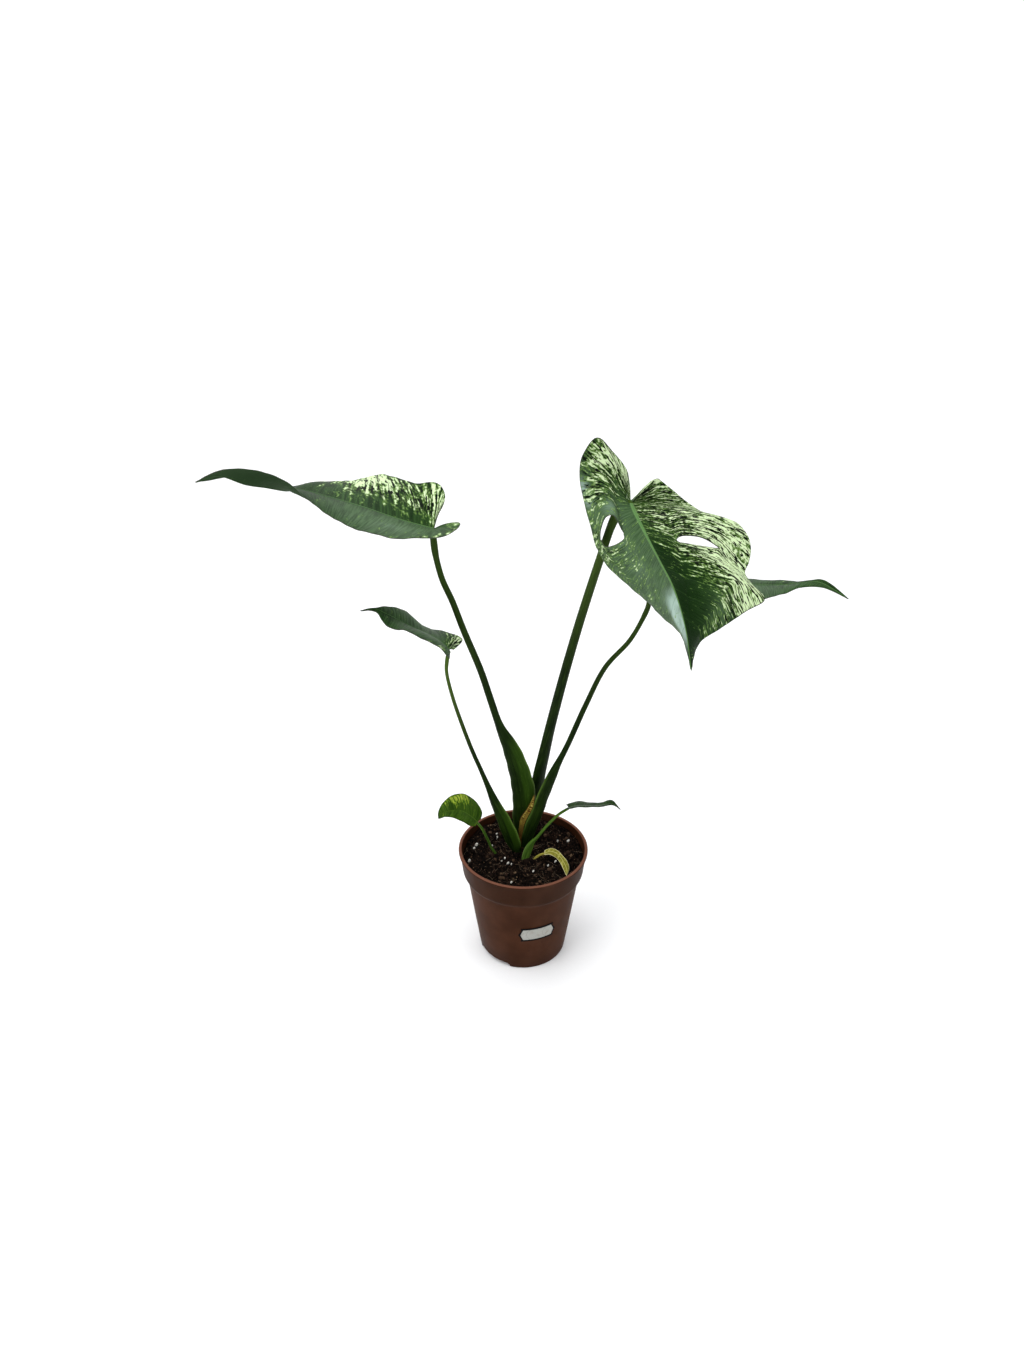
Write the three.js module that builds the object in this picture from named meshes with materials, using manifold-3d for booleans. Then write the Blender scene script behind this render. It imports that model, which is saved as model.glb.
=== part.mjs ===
// Potted variegated monstera, a young plant in a 12 cm nursery pot.
// Millimetres, +Z up. The origin is the middle of the pot's underside, and -Y is the front.
// Each leaf is a thin blade on its own stalk. The stalks widen into sheaths at the foot,
// stand in plain holes in the soil and spring from a short buried crown.

import * as THREE from 'three';
import { mergeVertices } from 'three/addons/utils/BufferGeometryUtils.js';
import Module from 'manifold-3d';

const wasm = await Module();
wasm.setup();

// Pot
const potHeight = 112;
const footHeight = 4;
const footInnerRadius = 36.5;
const bottomRadius = 40.6;
const bottomRounding = 1;
const waistHeight = 83.5;
const waistRadius = 52.6;
const collarHeight = 88.5;
const collarRadius = 56.3;
const lipHeight = 109.5;
const lipFootRadius = 58.7;
const rimRadius = 60;
const lipWidth = 2.8;
const lipEdge = 0.4;
const wall = 1.4;
const floorThickness = 1.6;
const padRadius = 8;
const footDraft = 0.5;
const footGaps = 2;
const footGapAngle = 57;
const footGapStart = -18;
const drainHoles = 8;
const drainRadius = 3;
const drainCircle = 25;
const drainSides = 10;
const potSides = 48;

// Soil and what is under it
const soilHeight = 101;
const soilLumps = 1.1;
const soilSides = 40;
const soilRings = [51, 46, 40, 34, 28, 22, 16, 10, 5];
const soilSlack = 0.2;
const soilBank = 5.5;
const soilBankStart = 30;
const soilBankWidth = 24;
const soilBankSides = 0.55;
const soilBankFall = 80;
const soilBankLeast = 0.1;
const clearance = 0.3;
const crownCentre = [1, 20.5];
const crownRadius = 12.5;
const crownBottom = 62;
const crownTop = 86;
const crownFoot = 6;
const crownShoulder = 8;
const crownSides = 14;

// Label
const labelLength = 36;
const labelWidth = 17;
const labelThickness = 0.4;
const labelHeight = 47.5;
const labelTurn = 16;
const labelTilt = 2.5;
const labelColumns = 8;
const labelPoint = 3.2;
const labelTip = 0.15;

// Leaves
const bladeThickness = 0.8;
const ribThickness = 1.6;
const veinDirection = 0.35;
const veinSpread = 0.6;
const rootCrowding = 1.5;
const edgeThickness = 0.7;
const weldDistance = 1e-3;

// Each leaf's midrib runs from the stalk to the tip. A half's margin starts beside the stalk
// and ends at the tip. Its fourth number is how far along the midrib its vein starts.
// The right and left halves are those seen from the stalk, with the upper face up.
const bladeLargeLeft = {
  midrib: [[-72, 0, 422], [-98, -4, 431], [-124, -8, 442], [-150, -10, 451], [-173, -12, 458],
    [-182, -12, 457], [-198, -10, 459], [-213, -12, 462], [-232, -16, 470], [-248, -20, 466]],
  right: [[-69, 14, 429, 0], [-65, 34, 435, 0], [-67, 48, 439, 0], [-75, 58, 442, 0],
    [-91, 66, 439, 0.03], [-109, 72, 442, 0.12], [-119, 72, 445, 0.2], [-128, 68, 444, 0.28],
    [-145, 60, 443, 0.4], [-161, 46, 446, 0.55], [-171, 30, 449, 0.62], [-181, 12, 452, 0.68],
    [-196, 4, 460, 0.77], [-216, -2, 466, 0.87], [-248, -20, 466, 1]],
  left: [[-67, -4, 425, 0], [-57, -12, 431, 0], [-50, -24, 435, 0], [-53, -36, 434, 0],
    [-64, -48, 433, 0], [-75, -56, 435, 0.01], [-85, -62, 437, 0.03], [-98, -66, 439, 0.1],
    [-118, -68, 445, 0.22], [-132, -64, 449, 0.34], [-149, -54, 456, 0.48], [-164, -40, 462, 0.62],
    [-172, -34, 467, 0.68], [-185, -28, 473, 0.76], [-200, -24, 476, 0.84], [-225, -20, 476, 0.93],
    [-248, -20, 466, 1]],
  arch: 0.06,
  lobeRows: 4,
  ribRows: 18,
  columns: [0, 0.05, 0.2, 0.4, 0.6, 0.8, 1],
};

const bladeLargeRight = {
  midrib: [[75.5, -50, 460.3], [81, -84, 453], [90.8, -114, 439], [98, -137, 428],
    [104.8, -154, 407], [109, -163, 381]],
  right: [[72, -50, 461.3, 0], [73.2, -52, 474, 0], [71.4, -53.5, 485, 0], [60.8, -54, 498.5, 0],
    [49.5, -52, 508, 0], [41, -42, 494, 0], [39, -36, 479, 0.01], [42, -34, 459, 0.04], [48, -36, 438, 0.1],
    [55, -44, 419, 0.18], [66, -56, 407, 0.28], [83, -78, 399, 0.42], [94, -98, 394, 0.55],
    [104, -120, 391, 0.7], [108, -136, 389, 0.82], [109, -163, 381, 1]],
  left: [[77.8, -50, 461.3, 0], [82.5, -46, 467, 0], [89.5, -41, 472, 0], [95.5, -38, 474, 0],
    [99.5, -36, 471.4, 0], [112, -31.5, 461, 0], [130, -28, 447, 0], [146, -30, 441, 0.02],
    [158, -36, 440, 0.05],
    [164, -44, 434, 0.1], [166, -54, 427, 0.14], [163, -66, 420, 0.18], [159, -76, 415, 0.22],
    [165, -86, 408, 0.26], [170, -96, 403, 0.3], [155, -108, 400, 0.42], [143, -120, 398, 0.55],
    [129, -132, 395, 0.66], [119.5, -140, 392.4, 0.76], [113.6, -148.5, 389.4, 0.86],
    [109, -163, 381, 1]],
  arch: 0.1,
  lobeRows: 5,
  ribRows: 20,
  columns: [0, 0.06, 0.15, 0.24, 0.3, 0.38, 0.48, 0.58, 0.67, 0.8, 0.9, 1],
  openings: [
    {
      half: 'right',
      vein: 6,
      fading: 1.9,
      edges: [[0, 0, 0], [0.285, 0.4, 0.4], [0.3, 0.05, 0.75], [0.33, -0.58, 0.88],
        [0.36, -1.02, 0.86], [0.41, -1.34, 0.78], [0.47, -1.36, 0.66], [0.54, -1.24, 0.54],
        [0.6, -1.06, 0.43], [0.67, -0.78, 0.32], [0.74, -0.52, 0.18], [0.78, -0.34, 0],
        [0.8, -0.22, -0.22], [1, 0, 0]],
    },
    {
      half: 'left',
      vein: 8,
      fading: 3,
      edges: [[0, 0, 0], [0.225, 0.9, 0.9], [0.24, 0.3, 1.2], [0.26, -0.9, 0.95],
        [0.29, -1.88, 0.35], [0.33, -2.15, -0.1], [0.36, -2.26, -0.35], [0.44, -2.32, -0.8],
        [0.53, -2.08, -1.22], [0.6, -1.84, -1.46], [0.655, -1.62, -1.62], [1, 0, 0]],
    },
  ],
};

const bladeRearRight = {
  midrib: [[104, 10, 358], [120, 10, 368], [143, 8, 373], [184, 8, 371], [213, 8, 371],
    [228, 6, 374], [242, 4, 374], [264, 0, 362]],
  right: [[105, 0, 359, 0], [108, -12, 360, 0], [116, -26, 362, 0], [128, -37, 367, 0.06],
    [142, -41, 371, 0.18], [163, -36, 374, 0.36], [189, -26, 374, 0.55], [207, -14, 373, 0.68],
    [223, -2, 373, 0.78], [243, 2, 371, 0.88], [264, 0, 362, 1]],
  left: [[98, 22, 358, 0], [95, 35, 362, 0], [101, 50, 366, 0], [148, 54, 357, 0.1],
    [171, 52, 359, 0.26], [192, 42, 362, 0.44], [214, 28, 367, 0.62], [228, 16, 371, 0.74],
    [242, 10, 375, 0.86], [251, 6, 372, 0.93], [264, 0, 362, 1]],
  arch: 0.06,
  lobeRows: 3,
  ribRows: 16,
  columns: [0, 0.06, 0.25, 0.5, 0.75, 1],
};

const bladeSmallLeft = {
  midrib: [[-61, -30, 331], [-68, -30, 338.5], [-78, -30, 345], [-92, -30, 352], [-104, -30, 359],
    [-113, -30, 364], [-118, -29.5, 366], [-130, -30, 365]],
  right: [[-58, -22, 327, 0], [-51, -10, 329, 0], [-55, -2, 330, 0], [-67, 4, 331, 0.05],
    [-80, 6, 333, 0.16], [-89, 3, 340, 0.3], [-96, -4, 352, 0.45], [-103, -10, 359, 0.58],
    [-110, -17, 363, 0.7], [-115, -24, 365.5, 0.78], [-118.5, -28, 366.6, 0.85],
    [-124, -28.8, 366.4, 0.93], [-130, -30, 365, 1]],
  left: [[-60, -38, 327, 0], [-62, -47, 335, 0], [-67, -53, 344, 0.04], [-76, -57, 352, 0.16],
    [-84, -58, 357, 0.3], [-92, -56, 360, 0.42], [-99, -52, 359, 0.54], [-107, -44.5, 358.3, 0.66],
    [-112.5, -38, 360.8, 0.76], [-116.5, -32.5, 364.5, 0.84], [-123, -31, 365.8, 0.92],
    [-130, -30, 365, 1]],
  arch: 0.08,
  lobeRows: 3,
  ribRows: 14,
  columns: [0, 0.08, 0.35, 0.65, 1],
};

const bladeSeedlingLeft = {
  midrib: [[-42, -6, 144], [-48, -8, 152], [-57, -12, 161], [-67, -16, 163], [-74, -19, 162],
    [-76, -20, 158]],
  right: [[-39, -2, 145, 0], [-38, 3, 149, 0], [-42, 7, 156, 0.05], [-50, 7, 164, 0.22],
    [-57, 3, 169, 0.4], [-65, -3, 171, 0.58], [-72, -9, 168, 0.74], [-76, -16, 163, 0.9],
    [-76, -20, 158, 1]],
  left: [[-44, -12, 144, 0], [-48, -17, 148, 0.06], [-54, -21, 155, 0.3], [-63, -24, 162, 0.55],
    [-69, -24, 163, 0.78], [-74.5, -22, 159.5, 0.93], [-76, -20, 158, 1]],
  arch: 0.1,
  lobeRows: 1,
  ribRows: 10,
  columns: [0, 0.12, 0.5, 1],
};

const bladeSeedlingRight = {
  midrib: [[42, 12, 147], [52, 10, 151], [64, 8, 152], [74, 7, 154], [82, 5, 156], [89, 4, 151]],
  right: [[39, 8, 149, 0], [42, 2, 153, 0], [49, -2, 158, 0.1], [60, -4, 159, 0.35],
    [71, -3, 159, 0.6], [80, 0, 159, 0.8], [89, 4, 151, 1]],
  left: [[40, 16, 148, 0], [43, 21, 146, 0], [51, 23, 147, 0.1], [62, 22, 146, 0.35],
    [73, 17, 150, 0.6], [81, 10, 157, 0.82], [89, 4, 151, 1]],
  arch: 0.1,
  lobeRows: 1,
  ribRows: 10,
  columns: [0, 0.12, 0.5, 1],
};

const bladeYellow = {
  midrib: [[20, -4, 107], [25.5, -6.5, 111], [30.5, -10.5, 112], [35, -17, 111], [38, -24, 109],
    [39.5, -29, 107], [39, -33, 104]],
  right: [[20, -6, 107, 0], [25, -9.5, 110, 0.14], [29.5, -13.5, 110, 0.32], [32.5, -18, 109.5, 0.5],
    [35, -23, 108, 0.66], [37, -28, 106, 0.82], [39, -33, 104, 1]],
  left: [[20, -2, 109, 0], [26, -2.5, 112, 0.14], [31.5, -7, 112.5, 0.32], [37, -14.5, 111, 0.52],
    [40.5, -21, 109.5, 0.68], [41.5, -26.5, 107.5, 0.84], [39, -33, 104, 1]],
  arch: 0.04,
  lobeRows: 0,
  ribRows: 8,
  columns: [0, 0.15, 1],
};

const bladeDriedSheath = {
  midrib: [[-2.6, 12.5, 92], [-2.8, 12.5, 108], [-2.4, 12, 120], [-0.5, 12, 130], [4.5, 12, 145],
    [10.5, 12, 162]],
  right: [[-1.6, 12.5, 92, 0], [-1.7, 12.5, 108, 0.15], [-0.4, 12, 121, 0.3], [1.6, 12, 130, 0.5],
    [5.2, 12, 139, 0.65], [9.2, 12, 149, 0.82], [10.5, 12, 162, 1]],
  left: [[-3.6, 12.5, 92, 0], [-3.9, 12.5, 108, 0.15], [-4, 12.5, 122, 0.3], [-3.4, 12.5, 130, 0.45],
    [-1.6, 12.5, 137, 0.6], [3.2, 12.5, 145, 0.75], [8.4, 12, 157, 0.9], [10.5, 12, 162, 1]],
  arch: 0.1,
  lobeRows: 0,
  ribRows: 9,
  columns: [0, 0.3, 1],
};

// Stalks run from the crown up to the blade. A station gives the share of the length, then half
// the width, and how far the outer and the inner face stand off the middle. A negative inner
// figure hollows the face, which makes the sheath. Outward is the way the sheath's back looks.
const stalkLargeLeft = {
  path: [[1, 25, 86], [1, 25, 101], [0, 23.5, 125], [1, 22, 149], [-2, 20, 175], [-10.5, 17, 207],
    [-21.5, 15, 234], [-29.5, 12, 263], [-37.5, 10, 292], [-50.5, 5, 331], [-59, 3, 358],
    [-65.8, 1, 376], [-69.3, 0.5, 389], [-71.8, 0, 404], [-73, 0, 421]],
  outward: [-0.25, -0.97, 0],
  stations: [[0, 4, 3.5, 3], [0.045, 6.5, 3.6, 1], [0.1, 9.5, 4.5, -2.8], [0.16, 10.8, 4.9, -3.2],
    [0.22, 11.2, 4.8, -3.2], [0.27, 10.2, 4.6, -3], [0.33, 9, 4.2, -2.2], [0.38, 7, 3.8, -0.8],
    [0.41, 5.4, 3.5, 0.6], [0.435, 3.4, 3.2, 2.4], [0.47, 3.2, 3.1, 3], [0.95, 2.3, 2.3, 2.3],
    [1, 2.6, 2.6, 2.6]],
  steps: 22,
  facets: 6,
};

const stalkLargeRight = {
  path: [[6, 33, 86], [6.5, 32.6, 101], [9.5, 31, 127], [12, 29, 150], [14.5, 26, 175],
    [17.8, 22, 197], [22, 18, 223], [26, 13, 246], [35, 2, 296], [45, -12, 349], [56.5, -30, 406],
    [64.5, -43, 443], [72, -49, 457], [78, -51, 460]],
  outward: [0.6, -0.8, 0],
  stations: [[0, 3.8, 2.8, 2.6], [0.1, 5.8, 3.4, 1], [0.2, 7.4, 3.9, -0.5], [0.25, 7.2, 4.1, 0],
    [0.3, 6.4, 4.2, 1.2], [0.36, 5.3, 4.3, 3], [0.42, 4.5, 4.3, 4.1], [0.6, 3.8, 3.8, 3.8],
    [0.95, 3, 3, 3], [1, 3.2, 3.2, 3.2]],
  steps: 22,
  facets: 6,
};

const stalkRearRight = {
  path: [[2, 16, 86], [1.5, 16, 101], [3.8, 16, 110], [7.4, 16, 124], [13.6, 16, 142], [18.2, 15, 159],
    [29, 14, 190], [39.4, 13, 215], [54, 12, 256], [69, 11, 293], [89, 10, 320], [101, 10, 346],
    [103, 10, 357]],
  outward: [0.5, -0.85, 0],
  stations: [[0, 3, 2.8, 2.6], [0.05, 4.8, 3, 2], [0.09, 7, 3.4, -1], [0.15, 7, 3.6, -1.5],
    [0.2, 6.7, 3.7, -1.6], [0.27, 6.4, 3.6, -1.4], [0.32, 5.8, 3.4, -0.8], [0.36, 4.9, 3.1, 0],
    [0.4, 3.1, 2.8, 1.8], [0.44, 2.5, 2.4, 2.3], [0.5, 2.5, 2.4, 2.4], [0.95, 1.8, 1.8, 1.8],
    [1, 2, 2, 2]],
  steps: 22,
  facets: 6,
};

const stalkSmallLeft = {
  path: [[-5, 8.5, 86], [-5.5, 8.5, 100], [-7.4, 8, 105], [-10, 7.5, 114], [-13.5, 6, 126],
    [-19, 4, 143], [-25, 2, 159], [-31.5, -1, 179], [-38, -5, 200], [-47, -10, 229],
    [-58, -20, 274], [-63.5, -27, 306], [-62.8, -30, 322], [-61, -30, 330]],
  outward: [-0.5, -0.85, 0],
  stations: [[0, 2.4, 2.2, 2.2], [0.05, 4, 2.6, 1.2], [0.085, 7.4, 3.4, -0.8],
    [0.12, 8.9, 3.8, -1.6], [0.165, 8.7, 3.6, -1.7], [0.235, 7.4, 3.2, -1.4],
    [0.3, 5.4, 2.8, -0.6], [0.38, 3, 2.2, 1.4], [0.46, 1.9, 1.9, 1.9], [0.95, 1.3, 1.3, 1.3],
    [1, 1.5, 1.5, 1.5]],
  steps: 22,
  facets: 5,
};

const stalkSeedlingLeft = {
  path: [[-22, 5.5, 90], [-26, 4, 101], [-29.5, 3, 108], [-33, 1.5, 119], [-38, -2, 134],
    [-43, -6.5, 145]],
  outward: [0, -1, 0],
  stations: [[0, 1.2, 1.2, 1.2], [1, 1.1, 1.1, 1.1]],
  steps: 8,
  facets: 3,
};

const stalkSeedlingRight = {
  path: [[0.5, -4, 90], [2, -3, 100], [4.5, -1.5, 109], [8.5, 0, 117], [13, 1.5, 121.5], [22, 5, 132],
    [32.5, 8.5, 142], [43, 12, 147.4]],
  outward: [0.2, -1, 0],
  stations: [[0, 1.8, 1.8, 1.8], [0.12, 3.6, 2.2, -0.6], [0.25, 4, 2.2, -0.8], [0.34, 3.2, 2, -0.2],
    [0.42, 1.5, 1.4, 1.3], [1, 1.25, 1.25, 1.25]],
  steps: 14,
  facets: 4,
};

const stalkYellow = {
  path: [[6, -3, 91], [10, -3, 99], [15, -3, 104], [20.5, -4.2, 107.3]],
  outward: [0, -1, 0],
  stations: [[0, 1.2, 1.2, 1.2], [1, 1, 1, 1]],
  steps: 6,
  facets: 3,
};

// Every geometry ends here: corners at one place become one corner, empty faces go, and the
// faces look out of the body.
function closed(geometry) {
  geometry.deleteAttribute('normal');
  geometry.deleteAttribute('uv');
  const merged = mergeVertices(geometry, weldDistance / 10);
  const index = merged.getIndex().array;
  const place = merged.getAttribute('position');
  const corners = [0, 1, 2].map(() => new THREE.Vector3());
  const kept = [];
  let volume = 0;
  for (let i = 0; i < index.length; i += 3) {
    const face = [index[i], index[i + 1], index[i + 2]];
    if (new Set(face).size < 3) continue;
    kept.push(face);
    face.forEach((corner, k) => corners[k].fromBufferAttribute(place, corner));
    volume += corners[0].dot(corners[1].clone().cross(corners[2]));
  }
  if (volume < 0) kept.forEach((face) => face.reverse());
  merged.setIndex(kept.flat());
  return merged;
}

function toSolid(geometry) {
  const vertProperties = Float32Array.from(geometry.getAttribute('position').array);
  const triVerts = Uint32Array.from(geometry.getIndex().array);
  return new wasm.Manifold(new wasm.Mesh({ numProp: 3, vertProperties, triVerts }));
}

function toGeometry(solid) {
  const mesh = solid.getMesh();
  const geometry = new THREE.BufferGeometry();
  geometry.setAttribute('position', new THREE.BufferAttribute(mesh.vertProperties, 3));
  geometry.setIndex(new THREE.BufferAttribute(mesh.triVerts, 1));
  return geometry;
}

// What is left of a piece once its fattened neighbours are taken out of it.
function trimmed(geometry, neighbours) {
  let solid = toSolid(geometry);
  for (const neighbour of neighbours) solid = solid.subtract(toSolid(neighbour));
  const parts = toSolid(mergeVertices(toGeometry(solid), weldDistance)).decompose();
  parts.sort((a, b) => b.volume() - a.volume());
  return toGeometry(parts[0]);
}

function smoothCurve(points) {
  const corners = points.map(([x, y, z]) => new THREE.Vector3(x, y, z));
  return new THREE.CatmullRomCurve3(corners, false, 'catmullrom', 0.5);
}

function between(stations, share) {
  let k = 1;
  while (k < stations.length - 1 && stations[k][0] < share) k += 1;
  const [before, after] = [stations[k - 1], stations[k]];
  const part = (share - before[0]) / (after[0] - before[0]);
  return before.map((value, i) => THREE.MathUtils.lerp(value, after[i], part));
}

// A stalk: a section that changes along a smooth path, with a flat end at each side.
function stalk({ path, outward, stations, steps, facets }, spare = 0) {
  const curve = smoothCurve(path);
  const corner = [];
  const ring = 2 * (facets + 1);
  for (let i = 0; i <= steps; i += 1) {
    const share = i / steps;
    const along = curve.getTangentAt(share);
    const centre = curve.getPointAt(share);
    if (i === 0) centre.addScaledVector(along, -spare);
    if (i === steps) centre.addScaledVector(along, spare);
    const out = new THREE.Vector3(...outward);
    out.addScaledVector(along, -out.dot(along)).normalize();
    const across = along.clone().cross(out);
    const [, width, outer, inner] = between(stations, share);
    for (let k = 0; k < ring; k += 1) {
      const onOuter = k <= facets;
      const angle = (Math.PI * (onOuter ? k : ring - 1 - k)) / facets;
      const depth = onOuter ? outer : inner;
      const stand = (depth - edgeThickness / 2) * Math.sin(angle) + edgeThickness / 2 + spare;
      const point = centre.clone().addScaledVector(across, (width + spare) * Math.cos(angle));
      corner.push(point.addScaledVector(out, onOuter ? stand : -stand));
    }
  }
  const faces = [];
  for (let i = 0; i < steps; i += 1) {
    for (let k = 0; k < ring; k += 1) {
      const next = (k + 1) % ring;
      const [a, b] = [i * ring + k, i * ring + next];
      faces.push([a, b, b + ring], [a, b + ring, a + ring]);
    }
  }
  for (let k = 1; k < ring - 1; k += 1) {
    const end = steps * ring;
    faces.push([0, k + 1, k], [end, end + k, end + k + 1]);
  }
  return fromFaces(corner, faces);
}

function fromFaces(corner, faces) {
  const geometry = new THREE.BufferGeometry();
  const places = corner.flatMap((point) => point.toArray());
  geometry.setAttribute('position', new THREE.Float32BufferAttribute(places, 3));
  geometry.setIndex(faces.flat());
  return closed(geometry);
}

// The point of a half's margin at a position in its list.
function marginAt(curve, position) {
  const last = curve.points.length - 1;
  return curve.getPoint(THREE.MathUtils.clamp(position / last, 0, 1));
}

function positionOfRoot(points, root) {
  let k = points.findIndex((point) => point[3] > 0);
  while (k < points.length - 1 && points[k][3] < root) k += 1;
  return k - 1 + (root - points[k - 1][3]) / (points[k][3] - points[k - 1][3]);
}

// A leaf blade: veins leave the midrib and bend to the margin, and the surface that they
// span is given its thickness. They arch least at the start of the lobe. An opening parts the
// surface along one vein. Its edges say how far the vein's two sides lie from their place at
// each share of the way to the margin. The other veins bend round it, less the further they
// are.
function blade(leaf, spare = 0) {
  const rib = smoothCurve(leaf.midrib);
  const { columns, lobeRows, ribRows, openings = [] } = leaf;
  const corner = [];
  const ribShare = [];
  for (let k = 0; k <= ribRows; k += 1) {
    ribShare.push((k / ribRows) ** rootCrowding);
    corner.push(rib.getPointAt(ribShare[k]));
  }
  const faces = [];
  for (const side of ['right', 'left']) {
    const points = leaf[side];
    const curve = smoothCurve(points);
    const lobeEnd = positionOfRoot(points, 0);
    const rows = [];
    for (let i = 0; i < lobeRows; i += 1) rows.push({ position: (lobeEnd * i) / lobeRows, k: 0 });
    for (let k = 0; k <= ribRows; k += 1) {
      rows.push({ position: positionOfRoot(points, ribShare[k]), k });
    }
    const parting = openings.filter((one) => one.half === side).map((one) => ({
      ...one, position: positionOfRoot(points, ribShare[one.vein]),
    }));
    const onVein = (row, t, edge) => {
      let shift = 0;
      for (const one of parting) {
        const apart = row.position - one.position;
        const [, before, after] = between(one.edges, t);
        const near = apart < 0 || (apart === 0 && edge < 0) ? before : after;
        shift += near * Math.exp(-Math.abs(apart) / one.fading);
      }
      const point = marginAt(curve, row.position + shift);
      const start = rib.getPointAt(ribShare[row.k]);
      const along = rib.getTangentAt(ribShare[row.k]);
      const reach = point.clone().sub(start);
      const lengthwise = along.clone().multiplyScalar(reach.dot(along));
      const across = reach.clone().sub(lengthwise);
      const up = across.clone().cross(along).multiplyScalar(side === 'right' ? 1 : -1);
      const arch = leaf.arch * Math.min((row.position + 1) / (lobeEnd + 1), 1);
      const bend = start.clone().addScaledVector(across, veinSpread);
      bend.addScaledVector(lengthwise, veinDirection);
      bend.addScaledVector(up.normalize(), arch * reach.length());
      return new THREE.QuadraticBezierCurve3(start, bend, point).getPoint(t);
    };
    for (const row of rows) {
      const opening = parting.find((one) => row.k > 0 && one.vein === row.k);
      row.before = [];
      row.after = [];
      for (const t of columns) {
        if (t === 0 || row.k === ribRows) {
          row.before.push(row.k);
          row.after.push(row.k);
          continue;
        }
        const [, before, after] = opening ? between(opening.edges, t) : [t, 0, 0];
        const parted = after > before;
        row.before.push(corner.length);
        corner.push(onVein(row, t, parted ? -1 : 0));
        if (parted) corner.push(onVein(row, t, 1));
        row.after.push(corner.length - 1);
      }
    }
    for (let r = 0; r < rows.length - 1; r += 1) {
      for (let c = 0; c < columns.length - 1; c += 1) {
        const [near, far] = [rows[r].after, rows[r + 1].before];
        const cell = [[near[c], near[c + 1], far[c + 1]], [near[c], far[c + 1], far[c]]];
        cell.forEach((face) => faces.push(side === 'right' ? face : face.reverse()));
      }
    }
  }
  const whole = faces.filter((face) => new Set(face).size === 3);
  return thickened(corner, whole, (k) => {
    const swell = k <= ribRows ? (ribThickness - bladeThickness) * (1 - ribShare[k]) : 0;
    return [bladeThickness / 2 + spare, bladeThickness / 2 + spare + swell];
  }, spare);
}

// Both faces of a sheet, split into triangles alike, and the edge between them. The edge
// can be spread outwards, for a fattened copy.
function thickened(corner, faces, thicknessAt, spread = 0) {
  const normals = corner.map(() => new THREE.Vector3());
  const edges = new Map();
  for (const [a, b, c] of faces) {
    const first = corner[b].clone().sub(corner[a]);
    const second = corner[c].clone().sub(corner[a]);
    const normal = first.cross(second);
    [a, b, c].forEach((k) => normals[k].add(normal));
    [[a, b], [b, c], [c, a]].forEach((edge) => edges.set(edge.join(), edge));
  }
  normals.forEach((normal) => normal.normalize());
  const rim = [...edges.values()].filter(([from, to]) => !edges.has([to, from].join()));
  const outwards = corner.map(() => new THREE.Vector3());
  for (const [from, to] of rim) {
    const away = corner[to].clone().sub(corner[from]).cross(normals[from]).normalize();
    [from, to].forEach((k) => outwards[k].add(away));
  }
  const count = corner.length;
  const upper = [];
  const lower = [];
  corner.forEach((point, k) => {
    const [above, below] = thicknessAt(k);
    const spreadPoint = point.clone().addScaledVector(outwards[k].normalize(), spread);
    upper.push(spreadPoint.clone().addScaledVector(normals[k], above));
    lower.push(spreadPoint.addScaledVector(normals[k], -below));
  });
  const all = faces.flatMap(([a, b, c]) => [[a, b, c], [a + count, c + count, b + count]]);
  for (const [from, to] of rim) {
    all.push([to, from, from + count], [to, from + count, to + count]);
  }
  return fromFaces([...upper, ...lower], all);
}

function turned(profile, sides) {
  const points = profile.map(([radius, height]) => new THREE.Vector2(radius, height));
  const geometry = new THREE.LatheGeometry(points, sides);
  geometry.rotateX(Math.PI / 2);
  return closed(geometry);
}

const taper = (waistRadius - bottomRadius) / waistHeight;

function wallRadius(height) {
  return bottomRadius + taper * height;
}

// The pot is one moulding: tapered wall, flared collar under the lip, a foot ring broken by
// two gaps, drain holes and a small pad in the middle of its underside.
function pot() {
  const floorTop = footHeight + floorThickness;
  const profile = [
    [0, 0], [padRadius, 0], [padRadius + footDraft, footHeight], [footInnerRadius, footHeight],
    [footInnerRadius + footDraft, 0], [bottomRadius - bottomRounding, 0],
    [bottomRadius - bottomRounding * 0.3, bottomRounding * 0.3],
    [wallRadius(bottomRounding), bottomRounding], [waistRadius, waistHeight], [collarRadius, collarHeight],
    [lipFootRadius, lipHeight - lipEdge], [rimRadius, lipHeight],
    [rimRadius, potHeight - lipEdge], [rimRadius - lipEdge, potHeight],
    [rimRadius - lipWidth + lipEdge, potHeight], [rimRadius - lipWidth, potHeight - lipEdge],
    [collarRadius - wall, collarHeight + 1], [waistRadius - wall, waistHeight + 1],
    [wallRadius(floorTop) - wall, floorTop], [0, floorTop],
  ];
  let body = toSolid(turned(profile, potSides));
  for (let i = 0; i < footGaps; i += 1) {
    const shape = new THREE.Shape();
    const start = THREE.MathUtils.degToRad(footGapStart + (360 / footGaps) * i - 90);
    const end = start - THREE.MathUtils.degToRad(footGapAngle);
    const [near, far] = [footInnerRadius - 2, bottomRadius + 5];
    shape.moveTo(near * Math.cos(end), near * Math.sin(end));
    shape.lineTo(far * Math.cos(end), far * Math.sin(end));
    shape.absarc(0, 0, far, end, start, false);
    shape.lineTo(near * Math.cos(start), near * Math.sin(start));
    const cut = new THREE.ExtrudeGeometry(shape, {
      depth: footHeight + 1, bevelEnabled: false, curveSegments: 4,
    });
    cut.translate(0, 0, -1);
    body = body.subtract(toSolid(closed(cut)));
  }
  for (let i = 0; i < drainHoles; i += 1) {
    const angle = (2 * Math.PI * (i + 0.5)) / drainHoles;
    const hole = new THREE.CylinderGeometry(drainRadius, drainRadius, 4 * floorThickness, drainSides);
    hole.rotateX(Math.PI / 2);
    hole.translate(drainCircle * Math.cos(angle), drainCircle * Math.sin(angle), floorTop);
    body = body.subtract(toSolid(closed(hole)));
  }
  return toGeometry(body);
}

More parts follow.
